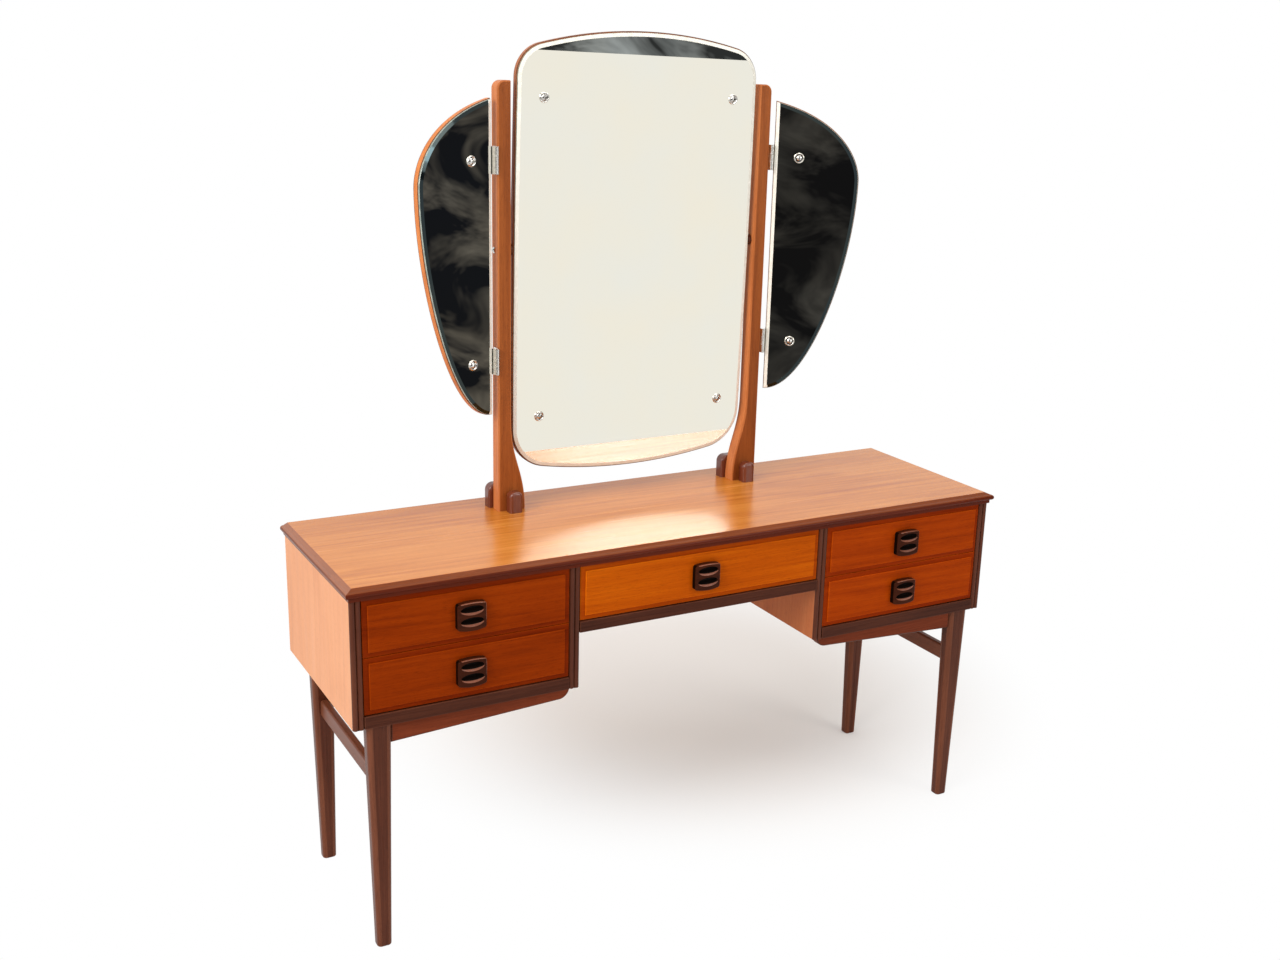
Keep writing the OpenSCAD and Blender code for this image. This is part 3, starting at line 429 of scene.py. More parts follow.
def keepPiece(name, body, finishes, ridesOn, standsFor, sharp=36, place=None):
    # turns a bmesh into a finished piece that rides on a body; creases of more than sharp degrees stay crisp,
    # and so do the rims of wide flat faces, which have more corners than manyCorners
    manyCorners = 12
    if place is not None:
        bmesh.ops.transform(body, matrix=place, verts=body.verts)
    bmesh.ops.remove_doubles(body, verts=body.verts, dist=0.000002)
    bmesh.ops.recalc_face_normals(body, faces=body.faces)
    for face in body.faces:
        face.smooth = True
    for edge in body.edges:
        wide = any(len(face.verts) > manyCorners for face in edge.link_faces)
        edge.smooth = not (wide or len(edge.link_faces) == 2 and edge.calc_face_angle() > math.radians(sharp))
    mesh = bpy.data.meshes.new(name)
    body.to_mesh(mesh)
    body.free()
    for finish in finishes:
        mesh.materials.append(finish)
    piece = bpy.data.objects.new(name, mesh)
    scene.collection.objects.link(piece)
    weigh = piece.modifiers.new("flatFaces", "WEIGHTED_NORMAL")
    weigh.keep_sharp = True
    settle(piece)
    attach(piece, ridesOn)
    if standsFor:
        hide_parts(*standsFor)
    return piece


def plate(
    name, outline, near, far, edges, plane, finishes, ridesOn, standsFor,
    flip=1, place=None, steps=3, foot=None,
):
    # a plate cut to an outline: edges rounds its near and far rims, plane names its two drawing axes, flip mirrors
    # it, and its foot level stays square
    rings, tones = plateRings(outline, near, far, edges, steps)
    if foot is not None:
        onFoot = [v == foot for _, v in cleanOutline(outline)]
        rings = [([(u, foot if low else v) for (u, v), low in zip(points, onFoot)], level) for points, level in rings]
    upright = plane == "xz"
    spots = []
    for points, level in rings:
        spots.append([(flip * u, level, v) if upright else (flip * u, v, level) for u, v in points])
    body = bmesh.new()
    loft(body, spots, tones)
    return keepPiece(name, body, finishes, ridesOn, standsFor, place=place)


def easedCopy(node, ease, finishes, ridesOn, name=None):
    # the node's own shape with its arrises taken off by ease millimetres; flatter creases are left
    arrisTurn = math.radians(30)
    body = bmesh.new()
    body.from_mesh(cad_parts[node].data)
    bmesh.ops.remove_doubles(body, verts=body.verts, dist=0.00002)
    bmesh.ops.dissolve_limit(body, angle_limit=math.radians(1), verts=body.verts, edges=body.edges)
    for face in body.faces:
        face.material_index = 0
    sharp = [e for e in body.edges if len(e.link_faces) == 2 and e.calc_face_angle() > arrisTurn]
    bmesh.ops.bevel(
        body, geom=sharp, offset=ease * mm, offset_type="OFFSET", segments=2, profile=0.5, affect="EDGES",
        clamp_overlap=True, material=1,
    )
    keepPiece(name or node + "_eased", body, finishes, ridesOn, [node])


# the table's own levels and planes, in millimetres
table = {
    "half": 702.5, "noseY": -200.75, "frontY": -192.25, "backY": 206.25, "topZ": 700, "underZ": 677, "baseZ": 440,
    "carcassHalf": 694, "panel": 20, "kneeHalf": 263.5, "pedestalX": 478.75, "pedestalW": 390.5,
}

# the top: a veneered board between three dark mouldings, mitred at the front
moulding = {
    "width": 14.2, "noseRadius": 5.6, "noseZ": 13, "step": 8, "lip": 0.3, "ease": 0.9, "lengths": 8, "paleAbove": 0.6,
}


def mouldingProfile():
    # points (out from the board, up from its underside): the slope, the nose, the step under it and the foot
    noseX, noseZ, radius = moulding["width"] - moulding["noseRadius"], moulding["noseZ"], moulding["noseRadius"]
    points = [(0, table["topZ"] - table["underZ"] - moulding["lip"]), (noseX - 0.8, noseZ + radius + 0.1)]
    points += arcPoints(noseX, noseZ, radius, 84, -90, 16)
    points += [(moulding["step"], noseZ - radius - 0.2)]
    points += arcPoints(moulding["step"] - moulding["ease"], moulding["ease"], moulding["ease"], 0, -90, 4)
    return points + [(0, 0)]


def mouldingPiece(word, start, end, finishes):
    # start and end give the plan place of a profile point at each end, from how far out it lies
    body = bmesh.new()
    rings = []
    for k in range(moulding["lengths"] + 1):
        ring = []
        for out, up in mouldingProfile():
            z = table["underZ"] + up
            ring.append(tuple(Vector((*start(out), z)).lerp(Vector((*end(out), z)), k / moulding["lengths"])))
        rings.append(ring)
    loft(body, rings)
    name = "moulding" + word.title()
    piece = keepPiece(name, body, finishes, "carcass", ["moulding_" + word], sharp=20)
    for face in piece.data.polygons:
        # faces turned upward, on the sloping top, get a paler finish than the nose
        if face.normal.z > moulding["paleAbove"]:
            face.material_index = 1


innerHalf = table["half"] - moulding["width"]
innerY = table["noseY"] + moulding["width"]
easedCopy("top_panel", 0.4, timber("topVeneer", "topEdge"), "carcass", "topBoard")
mouldingPiece(
    "front", lambda out: (-innerHalf - out, innerY - out), lambda out: (innerHalf + out, innerY - out),
    timber("mouldingAcross", "mouldingSlopeAcross"),
)
for side, word in sides:
    mouldingPiece(
        word, lambda out: (side * (innerHalf + out), innerY - out),
        lambda out: (side * (innerHalf + out), table["backY"]), timber("mouldingAlong", "mouldingSlopeAlong"),
    )
print("stage: top and mouldings")

# the carcass: veneered uprights, beaded lippings, rails, bottoms and backs
for _, word in sides:
    # the partitions take the darker veneer, a painted shade
    for kind, finish in (("side", "panelVeneer"), ("partition", "kneeVeneerPaintedShade")):
        name = kind + word.title()
        easedCopy(f"{kind}_{word}", 0.6, timber(finish, "panelEdge"), "carcass", name)

lipping = {"width": 20, "depth": 6, "bead": 5, "ease": 0.8}


def beadedOutline(x):
    bead = lipping["bead"]
    outline = [(x, lipping["depth"])]
    for k in (0, 1):
        outline += arcPoints(x + bead * (1 + 2 * k), bead, bead, 180, 360, 14)
    outline += [(x + lipping["width"], lipping["depth"])]
    return [(u, table["frontY"] + v) for u, v in outline]


for side, word in sides:
    for x, end in ((table["kneeHalf"], "Inner"), (table["carcassHalf"] - table["panel"], "Outer")):
        plate(
            "lipping_" + word + end, beadedOutline(x), table["baseZ"], table["underZ"], (lipping["ease"], 0), "xy",
            timber("darkWoodUpright", "darkWoodUprightWorn"), "carcass", (), flip=side,
        )
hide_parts("front_lippings")

rails = {"bottom_rail_left": "bottomRailLeft", "bottom_rail_right": "bottomRailRight", "middle_rail": "middleRail"}
for node, name in rails.items():
    easedCopy(node, 1.6, timber("darkWoodAcross", "darkWoodAcrossWorn"), "carcass", name)
for node, finish, slot in (
    ("bottom_left", "plywoodBottom", "carcass_ply"), ("bottom_right", "plywoodBottom", "carcass_ply"),
    ("back_panels", "plywoodBack", "carcass_ply"), ("drawer_runners", "paleHardwood", "pale_hardwood"),
):
    easedCopy(node, 0.5, timber(finish, finish), "carcass")
print("stage: carcass")

# the stand: tapered legs, arms under the pedestals and side stretchers
legs = {
    "x": 646, "frontY": -172.25, "backY": 165.75, "head": (45, 32, 9.5), "foot": (27, 25, 8), "footEase": 2.6,
    "cornerSteps": 8, "lengths": 6,
}
arms = {"thick": 20, "legH": 38, "endH": 22, "endX": 278.5, "ease": 2.4}
stretchers = {"thick": 16, "lowZ": 314, "topZ": 348, "ease": 4.5, "lengths": 4}


def legSize(z):
    # width, depth and corner radius at a level
    share = z / table["baseZ"]
    return [foot + (head - foot) * share for head, foot in zip(legs["head"], legs["foot"])]


def legPiece(side, y, word):
    rings = []
    ease, steps, lengths = legs["footEase"], legs["cornerSteps"], legs["lengths"]
    sections = [(ease * (1 - math.sin(a)), ease * (1 - math.cos(a))) for a in quarterTurn(4)]
    sections += [(0, table["baseZ"] * k / lengths) for k in range(1, lengths + 1)]
    for inset, z in sections:
        w, d, r = legSize(z)
        outline = roundedRect(-w / 2 + inset, w / 2 - inset, -d / 2 + inset, d / 2 - inset, max(r - inset, 1), steps)
        rings.append([(side * legs["x"] + u, y + v, z) for u, v in outline])
    body = bmesh.new()
    loft(body, rings)
    for number, face in enumerate(body.faces):
        # the rounded corners are worn; each corner's last point starts a flat side
        if len(face.verts) == 4 and number % (steps + 1) != steps:
            face.material_index = 1
    finishes = timber("darkWoodUpright", "darkWoodUprightWorn")
    keepPiece("leg_" + word, body, finishes, "carcass", ["leg_" + word])


def armPiece(side, y, word):
    top, low = table["baseZ"], table["baseZ"] - arms["legH"]
    outline = [(legs["x"] - legSize(top)[0] / 2, top)]
    outline += arcPoints(arms["endX"] + arms["endH"], top, arms["endH"], 180, 270, 14)
    outline += [(legs["x"] - legSize(low)[0] / 2, low)]
    plate(
        "arm_" + word, outline, y - arms["thick"] / 2, y + arms["thick"] / 2, (arms["ease"], arms["ease"]), "xz",
        timber("armWood", "darkWoodAcrossWorn"), "carcass", ["arm_" + word], flip=side,
    )


def stretcherPiece(side, word):
    # its ends follow the taper of the two legs
    lowZ, topZ, half = stretchers["lowZ"], stretchers["topZ"], stretchers["thick"] / 2
    (y0, y1), (y2, y3) = [
        (legs["frontY"] + legSize(z)[1] / 2, legs["backY"] - legSize(z)[1] / 2) for z in (lowZ, topZ)
    ]
    rings = []
    for k in range(stretchers["lengths"] + 1):
        ring = []
        for u, z in roundedRect(-half, half, lowZ, topZ, stretchers["ease"], 6):
            up = (z - lowZ) / (topZ - lowZ)
            first, last = y0 + (y2 - y0) * up, y1 + (y3 - y1) * up
            ring.append((side * legs["x"] + u, first + (last - first) * k / stretchers["lengths"], z))
        rings.append(ring)
    body = bmesh.new()
    loft(body, rings)
    finishes = timber("darkWoodDeepWorn")
    keepPiece("stretcher_" + word, body, finishes, "carcass", ["stretcher_" + word])


for side, word in sides:
    for y, place in ((legs["frontY"], "front"), (legs["backY"], "back")):
        legPiece(side, y, f"{place}_{word}")
        armPiece(side, y, f"{place}_{word}")
    stretcherPiece(side, word)
print("stage: legs, arms and stretchers")

# the mirror posts, each with a rounded block in front and a wider one behind
posts = {
    "outX": 297, "width": 27, "baseWidth": 56, "flare": 180, "flareEase": 80, "cornerR": 15,
    "frontY": 104.25, "backY": 134.25, "topZ": 1517, "midZ": 1000, "innerR": 2, "ease": 2.6,
}
frontBlock = {"x": 269, "width": 27, "depth": 24, "height": 42, "cornerR": 10.5, "ease": 6}
backBlock = {"x": 269, "width": 73, "depth": 25, "height": 48, "cornerR": 15, "ease": 5}


def archedOutline(x, width, height, radius):
    z = table["topZ"]
    return (
        [(x - width / 2, z), (x + width / 2, z)]
        + arcPoints(x + width / 2 - radius, z + height - radius, radius, 0, 90, 12)
        + arcPoints(x - width / 2 + radius, z + height - radius, radius, 90, 180, 12)
    )


def postPiece(side, word):
    # the foot flares inward in one curve
    inX, baseX = posts["outX"] - posts["width"], posts["outX"] - posts["baseWidth"]
    low = table["topZ"]
    flareZ = low + posts["flare"]
    outer, inner = posts["cornerR"], posts["innerR"]
    outline = [(posts["outX"], low), (posts["outX"], posts["midZ"])]
    outline += arcPoints(posts["outX"] - outer, posts["topZ"] - outer, outer, 0, 90, 14)
    outline += arcPoints(inX + inner, posts["topZ"] - inner, inner, 90, 180, 4)
    outline += curvePoints(
        (inX, flareZ), (inX, flareZ - posts["flareEase"]), (baseX, low + posts["flareEase"]), (baseX, low), 28,
    )
    post = plate(
        "post_" + word, outline, posts["frontY"], posts["backY"], (posts["ease"], posts["ease"]), "xz",
        timber("postTeak", "postTeakWorn", "postTeakSidePaintedLight"), "carcass", ["post_" + word], flip=side,
        steps=4, foot=low,
    )
    for face in post.data.polygons:
        # the sides and top, square to the front, get a paler finish than the front: painted light, as from a lamp at
        # the side
        if abs(face.normal.y) < 0.1 and face.material_index == 0:
            face.material_index = 2


def blockPiece(side, word, block, near, name):
    return plate(
        name + word.title(), archedOutline(block["x"], block["width"], block["height"], block["cornerR"]),
        near, near + block["depth"], (block["ease"], block["ease"]), "xz", timber("blockWood", "blockWood"),
        "carcass", (), flip=side, steps=6, foot=table["topZ"],
    )


for side, word in sides:
    postPiece(side, word)
    fore = blockPiece(side, word, frontBlock, posts["frontY"] - frontBlock["depth"], "frontBlock")
    rear = blockPiece(side, word, backBlock, posts["backY"], "backBlock")
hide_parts("front_blocks")
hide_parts("back_blocks")
print("stage: posts and blocks")

# the main mirror, drawn from its pivots and then leant forward
glass = {"thick": 5, "bevel": 7, "bevelDrop": 1.6, "board": 13, "arris": 0.5, "grind": 0.15}
mainGlass = {
    "topW": 514, "bottomW": 518, "bow": 2, "up": 398.5, "down": 448.5, "crownR": 890, "crownCorner": 61,
    "sagR": 1092, "sagCorner": 81, "boardBack": 5, "margin": 2.5, "pivot": (0, 123.75, 1209), "tilt": 1.6,
    "sideSteps": 24, "screws": [(-204.5, 279), (204.5, 279), (-204.5, -328), (204.5, -328)], "turns": (3, -5, 6, -8),
}
leant = Matrix.Rotation(math.radians(mainGlass["tilt"]), 4, "X")
mainPlace = Matrix.Translation(Vector(mainGlass["pivot"]) * mm) @ leant


def roundedEnd(halfW, rise, bigR, cornerR):
    # half of a rounded end, from the centre line to the side
    cx = halfW - cornerR
    cz = rise - bigR + math.sqrt((bigR - cornerR) ** 2 - cx**2)
    turn = math.degrees(math.atan2(cz - rise + bigR, cx))
    return arcPoints(0, rise - bigR, bigR, 90, turn, 26) + arcPoints(cx, cz, cornerR, turn, 0, 26), cz


def mainOutline():
    upper, topZ = roundedEnd(mainGlass["topW"] / 2, mainGlass["up"], mainGlass["crownR"], mainGlass["crownCorner"])
    lower, lowZ = roundedEnd(mainGlass["bottomW"] / 2, mainGlass["down"], mainGlass["sagR"], mainGlass["sagCorner"])
    half = [(x, -z) for x, z in lower]
    for i in range(1, mainGlass["sideSteps"]):
        t = i / mainGlass["sideSteps"]
        width = mainGlass["bottomW"] + (mainGlass["topW"] - mainGlass["bottomW"]) * t
        half.append((width / 2 + 4 * mainGlass["bow"] * t * (1 - t), -lowZ + (topZ + lowZ) * t))
    half += upper[::-1]
    return cleanOutline(half + [(-x, z) for x, z in half[::-1]])


def glassPiece(name, outline, backLevel, ridesOn, standsFor, place, shaded, flip=1):
    # rings from the silvered back round the ground edge and over the bevel; shaded picks where the bevel looks dark
    arris, grind, front = glass["arris"], glass["grind"], backLevel - glass["thick"]
    low = front + glass["bevelDrop"]
    sections = [(0, backLevel), (0, low + arris), (grind, low + grind), (arris, low), (glass["bevel"], front)]
    body = bmesh.new()
    rings = [[(flip * u, level, v) for u, v in insetOutline(outline, inset)] for inset, level in sections]
    loft(body, rings, [1, 1, 1, 2], (1, 0))
    for face in body.faces:
        if face.material_index == 2 and shaded(flip * face.calc_center_median().x / mm):
            face.material_index = 3
    finishes = [silver, glassEdge, bevelPaintedHighlight, silverShade]
    keepPiece(name, body, finishes, ridesOn, standsFor, sharp=7, place=place)


screw = {"radius": 6.4, "rise": 3.3, "rim": 0.35, "slotWide": 1.7, "slotDeep": 1.5, "lift": 0.8, "steps": 40}
cup = {"radius": 10.3, "sunk": 0.4, "bore": 0.6, "rollAt": 8.6, "rollZ": 2.0, "rollR": 0.8}


def cupProfile():
    # a cup washer that rises to a rolled rim and dips again to the screw's own seat
    points = [(cup["bore"], -cup["sunk"]), (9.6, -cup["sunk"]), (cup["radius"], 0.0)]
    points += [(cup["radius"] - 0.8 * t, 0.2 + 1.9 * t) for t in (0, 0.4, 0.8)]
    points += arcPoints(cup["rollAt"], cup["rollZ"], cup["rollR"], 20, 165, 5)
    return points + [(7.2, 1.5), (6.6, 1.1), (cup["bore"], 1.0)]


def screwHead(body, radius, rise, slotWide, slotDeep):
    # a domed head cut in two by its slot, with a floor in the slot
    dome = (radius * radius + rise * rise) / (2 * rise)
    lowest, highest = math.degrees(math.asin((dome - rise) / dome)), 89.2
    profile = [(radius, 0)]
    profile += [(x, max(z, 0) + screw["rim"]) for x, z in arcPoints(0, rise - dome, dome, lowest, highest, 9)]
    for way in (-1, 1):
        half = bmesh.new()
        loft(half, latheRings(profile, screw["steps"]))
        geom = half.verts[:] + half.edges[:] + half.faces[:]
        cutAt = Vector((way * slotWide / 2 * mm, 0, 0))
        cut = bmesh.ops.bisect_plane(half, geom=geom, plane_co=cutAt, plane_no=(way, 0, 0), clear_inner=True)
        rimEdges = [e for e in cut["geom_cut"] if isinstance(e, bmesh.types.BMEdge)]
        bmesh.ops.holes_fill(half, edges=rimEdges)
        joinInto(body, half)
    start = len(body.faces)
    span = math.sqrt(max(radius**2 - (slotWide / 2) ** 2, 0)) - 0.15
    floor = [(-slotWide / 2, -span), (slotWide / 2, -span), (slotWide / 2, span), (-slotWide / 2, span)]
    loft(body, [[(u, v, z) for u, v in floor] for z in (0, rise - slotDeep)])
    body.faces.ensure_lookup_table()
    for face in body.faces[start:]:
        face.material_index = 1


def glassScrews(name, spots, level, ridesOn, standsFor, place, turns):
    body = bmesh.new()
    for (x, z), turn in zip(spots, turns):
        one = bmesh.new()
        screwHead(one, screw["radius"], screw["rise"], screw["slotWide"], screw["slotDeep"])
        bmesh.ops.translate(one, verts=one.verts, vec=(0, 0, screw["lift"] * mm))
        loft(one, latheRings(cupProfile(), screw["steps"]))
        spin = Matrix.Translation(Vector((x, level, z)) * mm) @ Matrix.Rotation(math.pi / 2, 4, "X")
        bmesh.ops.transform(one, matrix=spin @ Matrix.Rotation(math.radians(turn), 4, "Z"), verts=one.verts)
        joinInto(body, one)
    keepPiece(name, body, [chrome, slotDark], ridesOn, standsFor, sharp=30, place=place)


boardFront = mainGlass["boardBack"] - glass["board"]
# the board's rounded rims take the darkened finish, a painted shade
plate(
    "mirrorBoard", insetOutline(mainOutline(), -mainGlass["margin"]), boardFront, mainGlass["boardBack"],
    (1.0, 2.5), "xz", timber("mirrorBoard", "mirrorBoardEdgePaintedShade"), "mirror", ["mirror_board"],
    place=mainPlace,
)
glassPiece("mirrorGlass", mainOutline(), boardFront, "mirror", ["mirror_glass"], mainPlace, lambda u: False)
glassScrews(
    "mirrorScrews", mainGlass["screws"], boardFront - glass["thick"], "mirror", ["mirror_screws"], mainPlace,
    mainGlass["turns"],
)

# the wing mirrors, drawn outward from their hinge pins and down from their tops; left and right are their folds
wing = {
    "width": 171, "height": 587, "shoulder": 154, "topReach": 133, "topFall": 33, "shoulderEase": 46, "sideEase": 176,
    "footReach": 90, "margin": 1.25, "glassX": 4.75, "back": 9, "fixIn": 50, "fixTop": 109, "fixBottom": 484,
    "left": 20, "right": 35, "turns": (4, -10), "steps": 60, "pin": (300.5, 99.25, 1484),
}


def wingOutline():
    outline = curvePoints(
        (0, -wing["height"]), (wing["footReach"], -wing["height"]),
        (wing["width"], -wing["shoulder"] - wing["sideEase"]), (wing["width"], -wing["shoulder"]), wing["steps"],
    )
    outline += curvePoints(
        (wing["width"], -wing["shoulder"]), (wing["width"], wing["shoulderEase"] - wing["shoulder"]),
        (wing["topReach"], -wing["topFall"]), (0, 0), wing["steps"],
    )[1:]
    return [(x + wing["glassX"], z) for x, z in outline]


def wingPieces(side, word):
    x, y, z = wing["pin"]
    fold = Matrix.Rotation(-side * math.radians(wing[word]), 4, "Z")
    place = Matrix.Translation(Vector((side * x, y, z)) * mm) @ fold
    outline = cleanOutline(wingOutline())
    near = wing["back"] + glass["thick"]
    ridesOn = "wing_" + word
    # the wing board's rounded rims take the darkened finish, a painted shade
    plate(
        "wingBoard_" + word, insetOutline(outline, -wing["margin"]), near, near + glass["board"], (0.8, 2.5), "xz",
        timber("wingBoardEdge", "mirrorBoardEdgePaintedShade"), ridesOn, ["wing_board_" + word], flip=side,
        place=place,
    )
    glassPiece(
        "wingGlass_" + word, outline, near, ridesOn, ["wing_glass_" + word], place,
        lambda u: u > wing["glassX"] + glass["bevel"], flip=side,
    )
    spots = [(side * (wing["glassX"] + wing["fixIn"]), -drop) for drop in (wing["fixTop"], wing["fixBottom"])]
    glassScrews("wingScrews_" + word, spots, wing["back"], ridesOn, ["wing_screws_" + word], place, wing["turns"])


for side, word in sides:
    wingPieces(side, word)
    easedCopy("hinge_leaves_" + word, 0.25, [nickel, nickel], "wing_" + word, "hingeLeaves_" + word)
easedCopy("hinge_leaves_posts", 0.25, [nickel, nickel], "carcass", "hingeLeavesPosts")
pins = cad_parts["hinge_pins"].data.materials  # the pins keep their own shape
pins.clear()
pins.append(nickel)
print("stage: mirrors and hinges")

# the pivots: turned spacers beside the board and domed bolt heads outside the posts
pivots = {
    "boardHalf": 262.51, "gap": 0.3, "spacerR": 10.5, "spacerEase": 0.8, "boltR": 3, "tip": 0.6, "headR": 6,
    "headH": 2.8, "slotWide": 1.2, "slotDeep": 1.0, "slotTurn": 0.5, "grip": 24, "spacerSteps": 48, "boltSteps": 32,
}


def pivotPieces():
    spacers, bolts = bmesh.new(), bmesh.new()
    boardHalf, gap, ease = pivots["boardHalf"], pivots["gap"], pivots["spacerEase"]
    boltR, tip, count = pivots["boltR"], pivots["tip"], pivots["spacerSteps"]
    width = posts["outX"] - posts["width"] - boardHalf - gap
    for side, _ in sides:
        turn = Matrix.Rotation(side * math.pi / 2, 4, "Y")
        rim = pivots["spacerR"] - ease
        ring = [(boltR, 0), (pivots["spacerR"] - 0.6, 0)]
        ring += arcPoints(rim, ease, ease, -60, 0, 3) + arcPoints(rim, width - ease, ease, 0, 90, 4)
        ring += [(boltR, width)]
        one = bmesh.new()
        loops = loft(one, latheRings(ring, count), caps=(None, None))
        for i in range(count):
            j = (i + 1) % count
            one.faces.new((loops[0][j], loops[0][i], loops[-1][i], loops[-1][j]))
        seat = Vector((side * boardHalf, 0, 0)) * mm
        bmesh.ops.transform(one, matrix=Matrix.Translation(seat) @ turn, verts=one.verts)
        joinInto(spacers, one)

        one = bmesh.new()
        screwHead(one, pivots["headR"], pivots["headH"] - screw["rim"], pivots["slotWide"], pivots["slotDeep"])
        shank = posts["outX"] + gap - boardHalf + pivots["grip"]
        bolt = [(tip, -shank), (2.6, -shank), (boltR, -shank + 0.6), (boltR, 0.02), (tip, 0.02)]
        loft(one, latheRings(bolt, pivots["boltSteps"]))
        seat = Vector((side * (posts["outX"] + gap), 0, 0)) * mm
        spin = Matrix.Rotation(pivots["slotTurn"], 4, "Z")
        bmesh.ops.transform(one, matrix=Matrix.Translation(seat) @ turn @ spin, verts=one.verts)
        joinInto(bolts, one)
    spacerWood = timber("darkWoodUpright")
    keepPiece("pivotSpacers", spacers, spacerWood, "mirror", ["pivot_spacers"], place=mainPlace)
    keepPiece("pivotBolts", bolts, [chrome, slotDark], "mirror", ["pivot_bolts"], place=mainPlace)


pivotPieces()
print("stage: pivots")

# the drawers: fielded fronts, boxes behind them and carved handles
drawers = ["left_upper", "left_lower", "right_upper", "right_lower", "middle"]
front = {
    "gap": 1.3, "border": 9.5, "raise": 3, "board": 18, "height": 104.55, "upperZ": 571.15, "lowerZ": 465.3,
    "slope": 0.7, "arris": 1.0,
}
handle = {
    "width": 55, "height": 53, "lift": 0.8, "bow": 3, "proud": 14, "round": 2.5, "drop": 3.5, "corner": 4,
    "edge": 2.4, "columns": 20, "scoopHalf": 22, "scoopRise": 8.8, "scoopDeep": 10.5, "scoops": (-9.4, 12.4),
    "steep": 0.45, "leastWall": 0.5, "paintedHighlightRim": 1.2, "paintedHighlightLean": 0.6, "paintedHighlightFrom": 12, "paintedHighlightLip": (-0.95, -0.66),
}
# rows of points on a handle: in from its edge, and up each scoop from the lower lip at -1 to the roof at 1
edgeRows = [0, 0.12, 0.45, 0.95, 1.6, 2.4]
scoopRows = [-1, -0.93, -0.84, -0.72, -0.56, -0.36, -0.1, 0.2, 0.45, 0.65, 0.8, 0.9, 0.96, 0.99, 1]


def frontPiece(word, x, openW, z, finishes):
    w, h, y = openW - 2 * front["gap"], front["height"], table["frontY"]
    border, low, arris = front["border"], front["raise"], front["arris"]
    back, edge = low + front["board"], low + front["slope"]
    # inset, depth and finish of each ring: back, outer edge, sloping border, then the raised field's rounded arris
    sections = [(0.5, back, 0), (0, back - 0.5, 0), (0, edge + 0.6, 2), (0.2, edge + 0.2, 2), (0.6, edge, 1)]
    sections += [(border - 0.5, low, 1), (border, low - 0.3, 2)]
    sections += [(border + arris * (1 - math.cos(a)), arris * (1 - math.sin(a)), 2) for a in quarterTurn(4)[:-1]]
    sections += [(border + arris, 0, 0)]
    rings = []
    for inset, depth, _ in sections:
        x0, x1, z0, z1 = x - w / 2 + inset, x + w / 2 - inset, z + inset, z + h - inset
        rings.append([(u, y + depth, v) for u, v in ((x0, z0), (x1, z0), (x1, z1), (x0, z1))])
    body = bmesh.new()
    loft(body, rings, [finish for _, _, finish in sections])
    keepPiece(
        "drawerFront_" + word, body, finishes, "drawer_" + word, ["drawer_front_" + word], sharp=50,
    )


def bowRadius(half, rise):
    return (half**2 + rise**2) / (2 * rise)


def handleFace(x, rim):
    # how far the handle's bowed face and rounded edge lie behind its foremost point
    bow = bowRadius(handle["width"] / 2, handle["round"])
    depth = bow - math.sqrt(bow**2 - x * x)
    if rim < handle["edge"]:
        depth += handle["edge"] - math.sqrt(max(handle["edge"] ** 2 - (handle["edge"] - rim) ** 2, 0))
    return depth


def scoopShare(v):
    # depth of a scoop from its lower lip at -1, over its deepest line, up to its steep roof at 1
    if v < handle["steep"]:
        return 0.5 - 0.5 * math.cos(math.pi * (v + 1) / (handle["steep"] + 1))
    return math.sqrt(max(1 - ((v - handle["steep"]) / (1 - handle["steep"])) ** 2, 0))


def handleLevels(crest, span):
    # the height of each row, and its share of the scoop's rise where it lies in one
    levels = [(-crest + d, None) for d in edgeRows]
    for mid in handle["scoops"]:
        levels += [(mid + handle["scoopRise"] * span * share, share) for share in scoopRows]
    return levels + [(crest - d, None) for d in edgeRows[::-1]]


def roundCorner(u, v, crest):
    # draws the corners in to a radius, and tells how far in from the rim a point lies
    half, corner = handle["width"] / 2, handle["corner"]
    du, dv = abs(u) - half + corner, abs(v) - crest + corner
    if du <= 0 or dv <= 0:
        return u, v, min(half - abs(u), crest - abs(v))
    reach, away = max(du, dv), math.hypot(du, dv)
    px = math.copysign(half - corner + du * reach / away, u)
    pz = math.copysign(crest - corner + dv * reach / away, v)
    return px, pz, corner - reach


